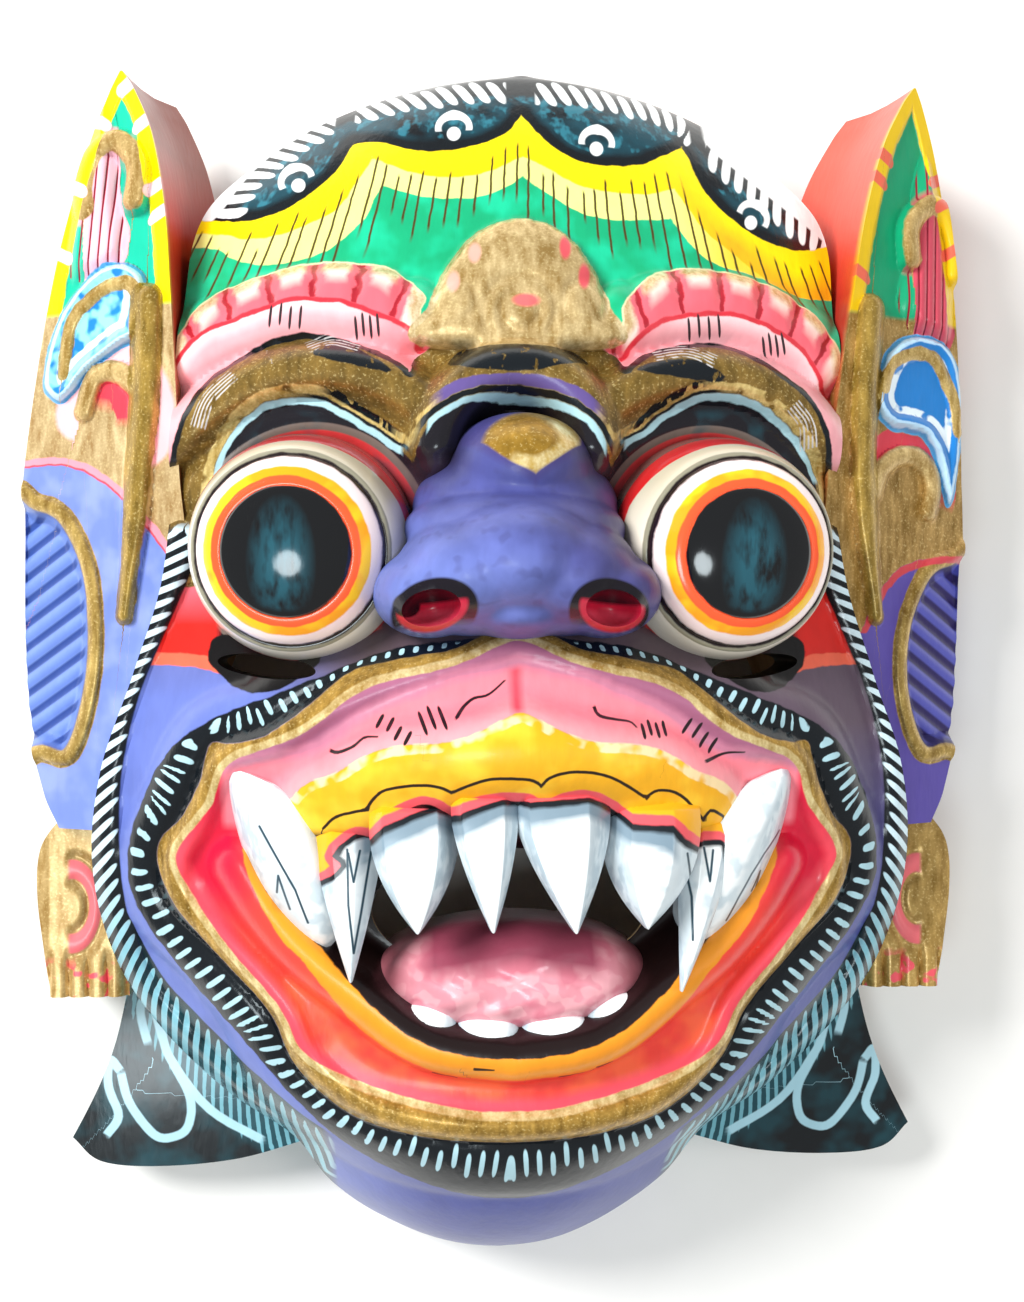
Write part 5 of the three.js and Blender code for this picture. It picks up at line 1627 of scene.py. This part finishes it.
# %% Ear lobes and beard tufts
CURLS = [[(77.6, -82.9), (79.3, -77), (79.2, -73.4), (76.8, -74.3), (74.6, -81), (72.4, -86.5), (64.2, -97.2),
          (52.1, -104.7)],
         [(72.4, -86.5), (68.4, -94.7), (69.1, -101.4), (73, -103.6), (76.3, -102.9), (80, -98.5),
          (82.3, -94.4),
          (83.7, -88.6)], [(83.7, -88.6), (86.1, -86.2), (86.4, -92), (84.2, -98.5), (87, -103)]]
for side, tuft_piece in zip((-1, 1), tufts):
    hx, hy = spots(tuft_piece)[:2]
    rope_line, rope_run = beside(ROPE_BAND, side * hx, hy)
    carry(tuft_piece, rope=rope_line, rope_run=rope_run)
    for number, curl in enumerate(CURLS):
        line, share = strokes([curl], side * hx, hy)
        carry(tuft_piece, **{f"curl_{number}": line, f"curl_{number}_share": share})
tuft_paint = Finish("tuft_enamel", "#0c1216", 0.28)
p = tuft_paint
p.coat(p.cloud.over(0.54, 0.2), "#143a42")
rope, run = p.guide("rope", 0.3), p.guide("rope_run", 0)
p.coat(rope.under(9, 3), "#15444e")
p.coat(dashes(p, run, rope, 2.6, -0.95, 1.2, -4.0, 9.5, 1.0), "#6fa9b6", 0.3)
for number in range(len(CURLS)):
    curl, share = p.guide(f"curl_{number}", 0.25), p.guide(f"curl_{number}_share", 0)
    p.coat(abs(curl).under(0.95, 0.3) * share.within(0.01, 0.99, 0.02), "#a9d2de", 0.3)
p.aged(0.1)
p.done(*tufts, coat=0.25)

lobe_paint = Finish("lobe_gold", "#a8843c", 0.42, 0.3)
p = lobe_paint
p.gold(p.y.over(-200), "#8f6d2c", "#cca660")
# The left lobe takes a paler gold: painted light on the side nearer the lamp.
p.gold(p.x.under(0), "#a8803e", "#dcbc80")
ring = ((abs(p.x) - 92) * (abs(p.x) - 92) + (p.y + 50) * (p.y + 50) * 0.38).math("SQRT")
mark = ring.within(3.6, 6.2) * abs(p.x).under(92.6, 0.8)
p.coat(mark, "#ee7076", 0.35, 0.0)
p.coat(abs(p.x).over(79) * p.y.over(-31.4, 0.5), "#7c2b26", 0.4, 0.0)
p.coat(p.wave.over(0.62, 0.05) * p.y.under(-62, 3), "#e0505c", 0.4, 0.0)
p.aged(0.12)
p.done(*lobes, coat=0.15)

# %% [markdown]
# ## Floor, light and camera
# The mask lies on its back on a plain pale floor. A large soft lamp from the upper left makes the
# bright side of the photograph, and a weaker one from the right keeps the shadows open. The camera
# looks straight down from 0.42 m, a little left of the middle, as the photographer stood.

# %% Floor, light and camera
FLOOR_SIZE, FLOOR_DROP = 4.0, 0.0004
bm = bmesh.new()
bmesh.ops.create_grid(bm, x_segments=1, y_segments=1, size=FLOOR_SIZE / 2)
bmesh.ops.translate(bm, vec=(0, 0, -FLOOR_DROP), verts=bm.verts)
floor_mesh = bpy.data.meshes.new("floor")
bm.to_mesh(floor_mesh)
bm.free()
floor = bpy.data.objects.new("floor", floor_mesh)
bpy.context.scene.collection.objects.link(floor)
floor_paint = Finish("floor_paint", "#f4f2ee", 0.8)
floor_paint.coat(floor_paint.cloud, "#f1efeb")
floor_paint.done(floor, bump=0)


def lamp(name, place, power, size, colour=(1, 1, 1), mirrored=True):
    """A soft round lamp aimed at the middle of the mask, kept out of the gloss where it is not wanted."""
    data = bpy.data.lights.new(name, "AREA")
    data.shape, data.energy, data.size, data.color = "DISK", power, size, colour
    light = bpy.data.objects.new(name, data)
    light.location, light.visible_glossy = place, mirrored
    light.rotation_euler = (Vector((0, 0, 0.05)) - Vector(place)).to_track_quat("-Z", "Y").to_euler()
    bpy.context.scene.collection.objects.link(light)


lamp("key_lamp", (-0.75, 0.5, 0.8), 20, 0.5, mirrored=False)
lamp("fill_lamp", (0.8, -0.1, 0.9), 5.5, 0.7, mirrored=False)
lamp("window_lamp", (-0.26, -0.24, 1.0), 3, 0.34, (0.85, 0.96, 1))
world = bpy.data.worlds.new("studio")
world.use_nodes = True
world.node_tree.nodes["Background"].inputs["Color"].default_value = (1, 1, 1, 1)
world.node_tree.nodes["Background"].inputs["Strength"].default_value = 0.32
bpy.context.scene.world = world
bpy.context.scene.view_settings.view_transform = "Standard"

view = bpy.data.cameras.new("camera")
view.sensor_fit, view.sensor_height, view.lens = "VERTICAL", 36, 49.77
camera = bpy.data.objects.new("camera", view)
camera.location, camera.rotation_euler = (-0.025, 0.0046, 0.42), (0, math.radians(-4), 0)
bpy.context.scene.collection.objects.link(camera)
bpy.context.scene.camera = camera
print("camera", round(camera.location.z, 2), "m above the floor")

# %% [markdown]
# ## Handing the pieces over
# All pieces move with the one body and together stand for the one solid.

# %% Riding with the body
pieces = [face, nose, tongue, *eyes.values(), *teeth, *ears.values(), *lobes, *tufts]
for piece in pieces:
    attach(piece, "root")
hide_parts("mask")
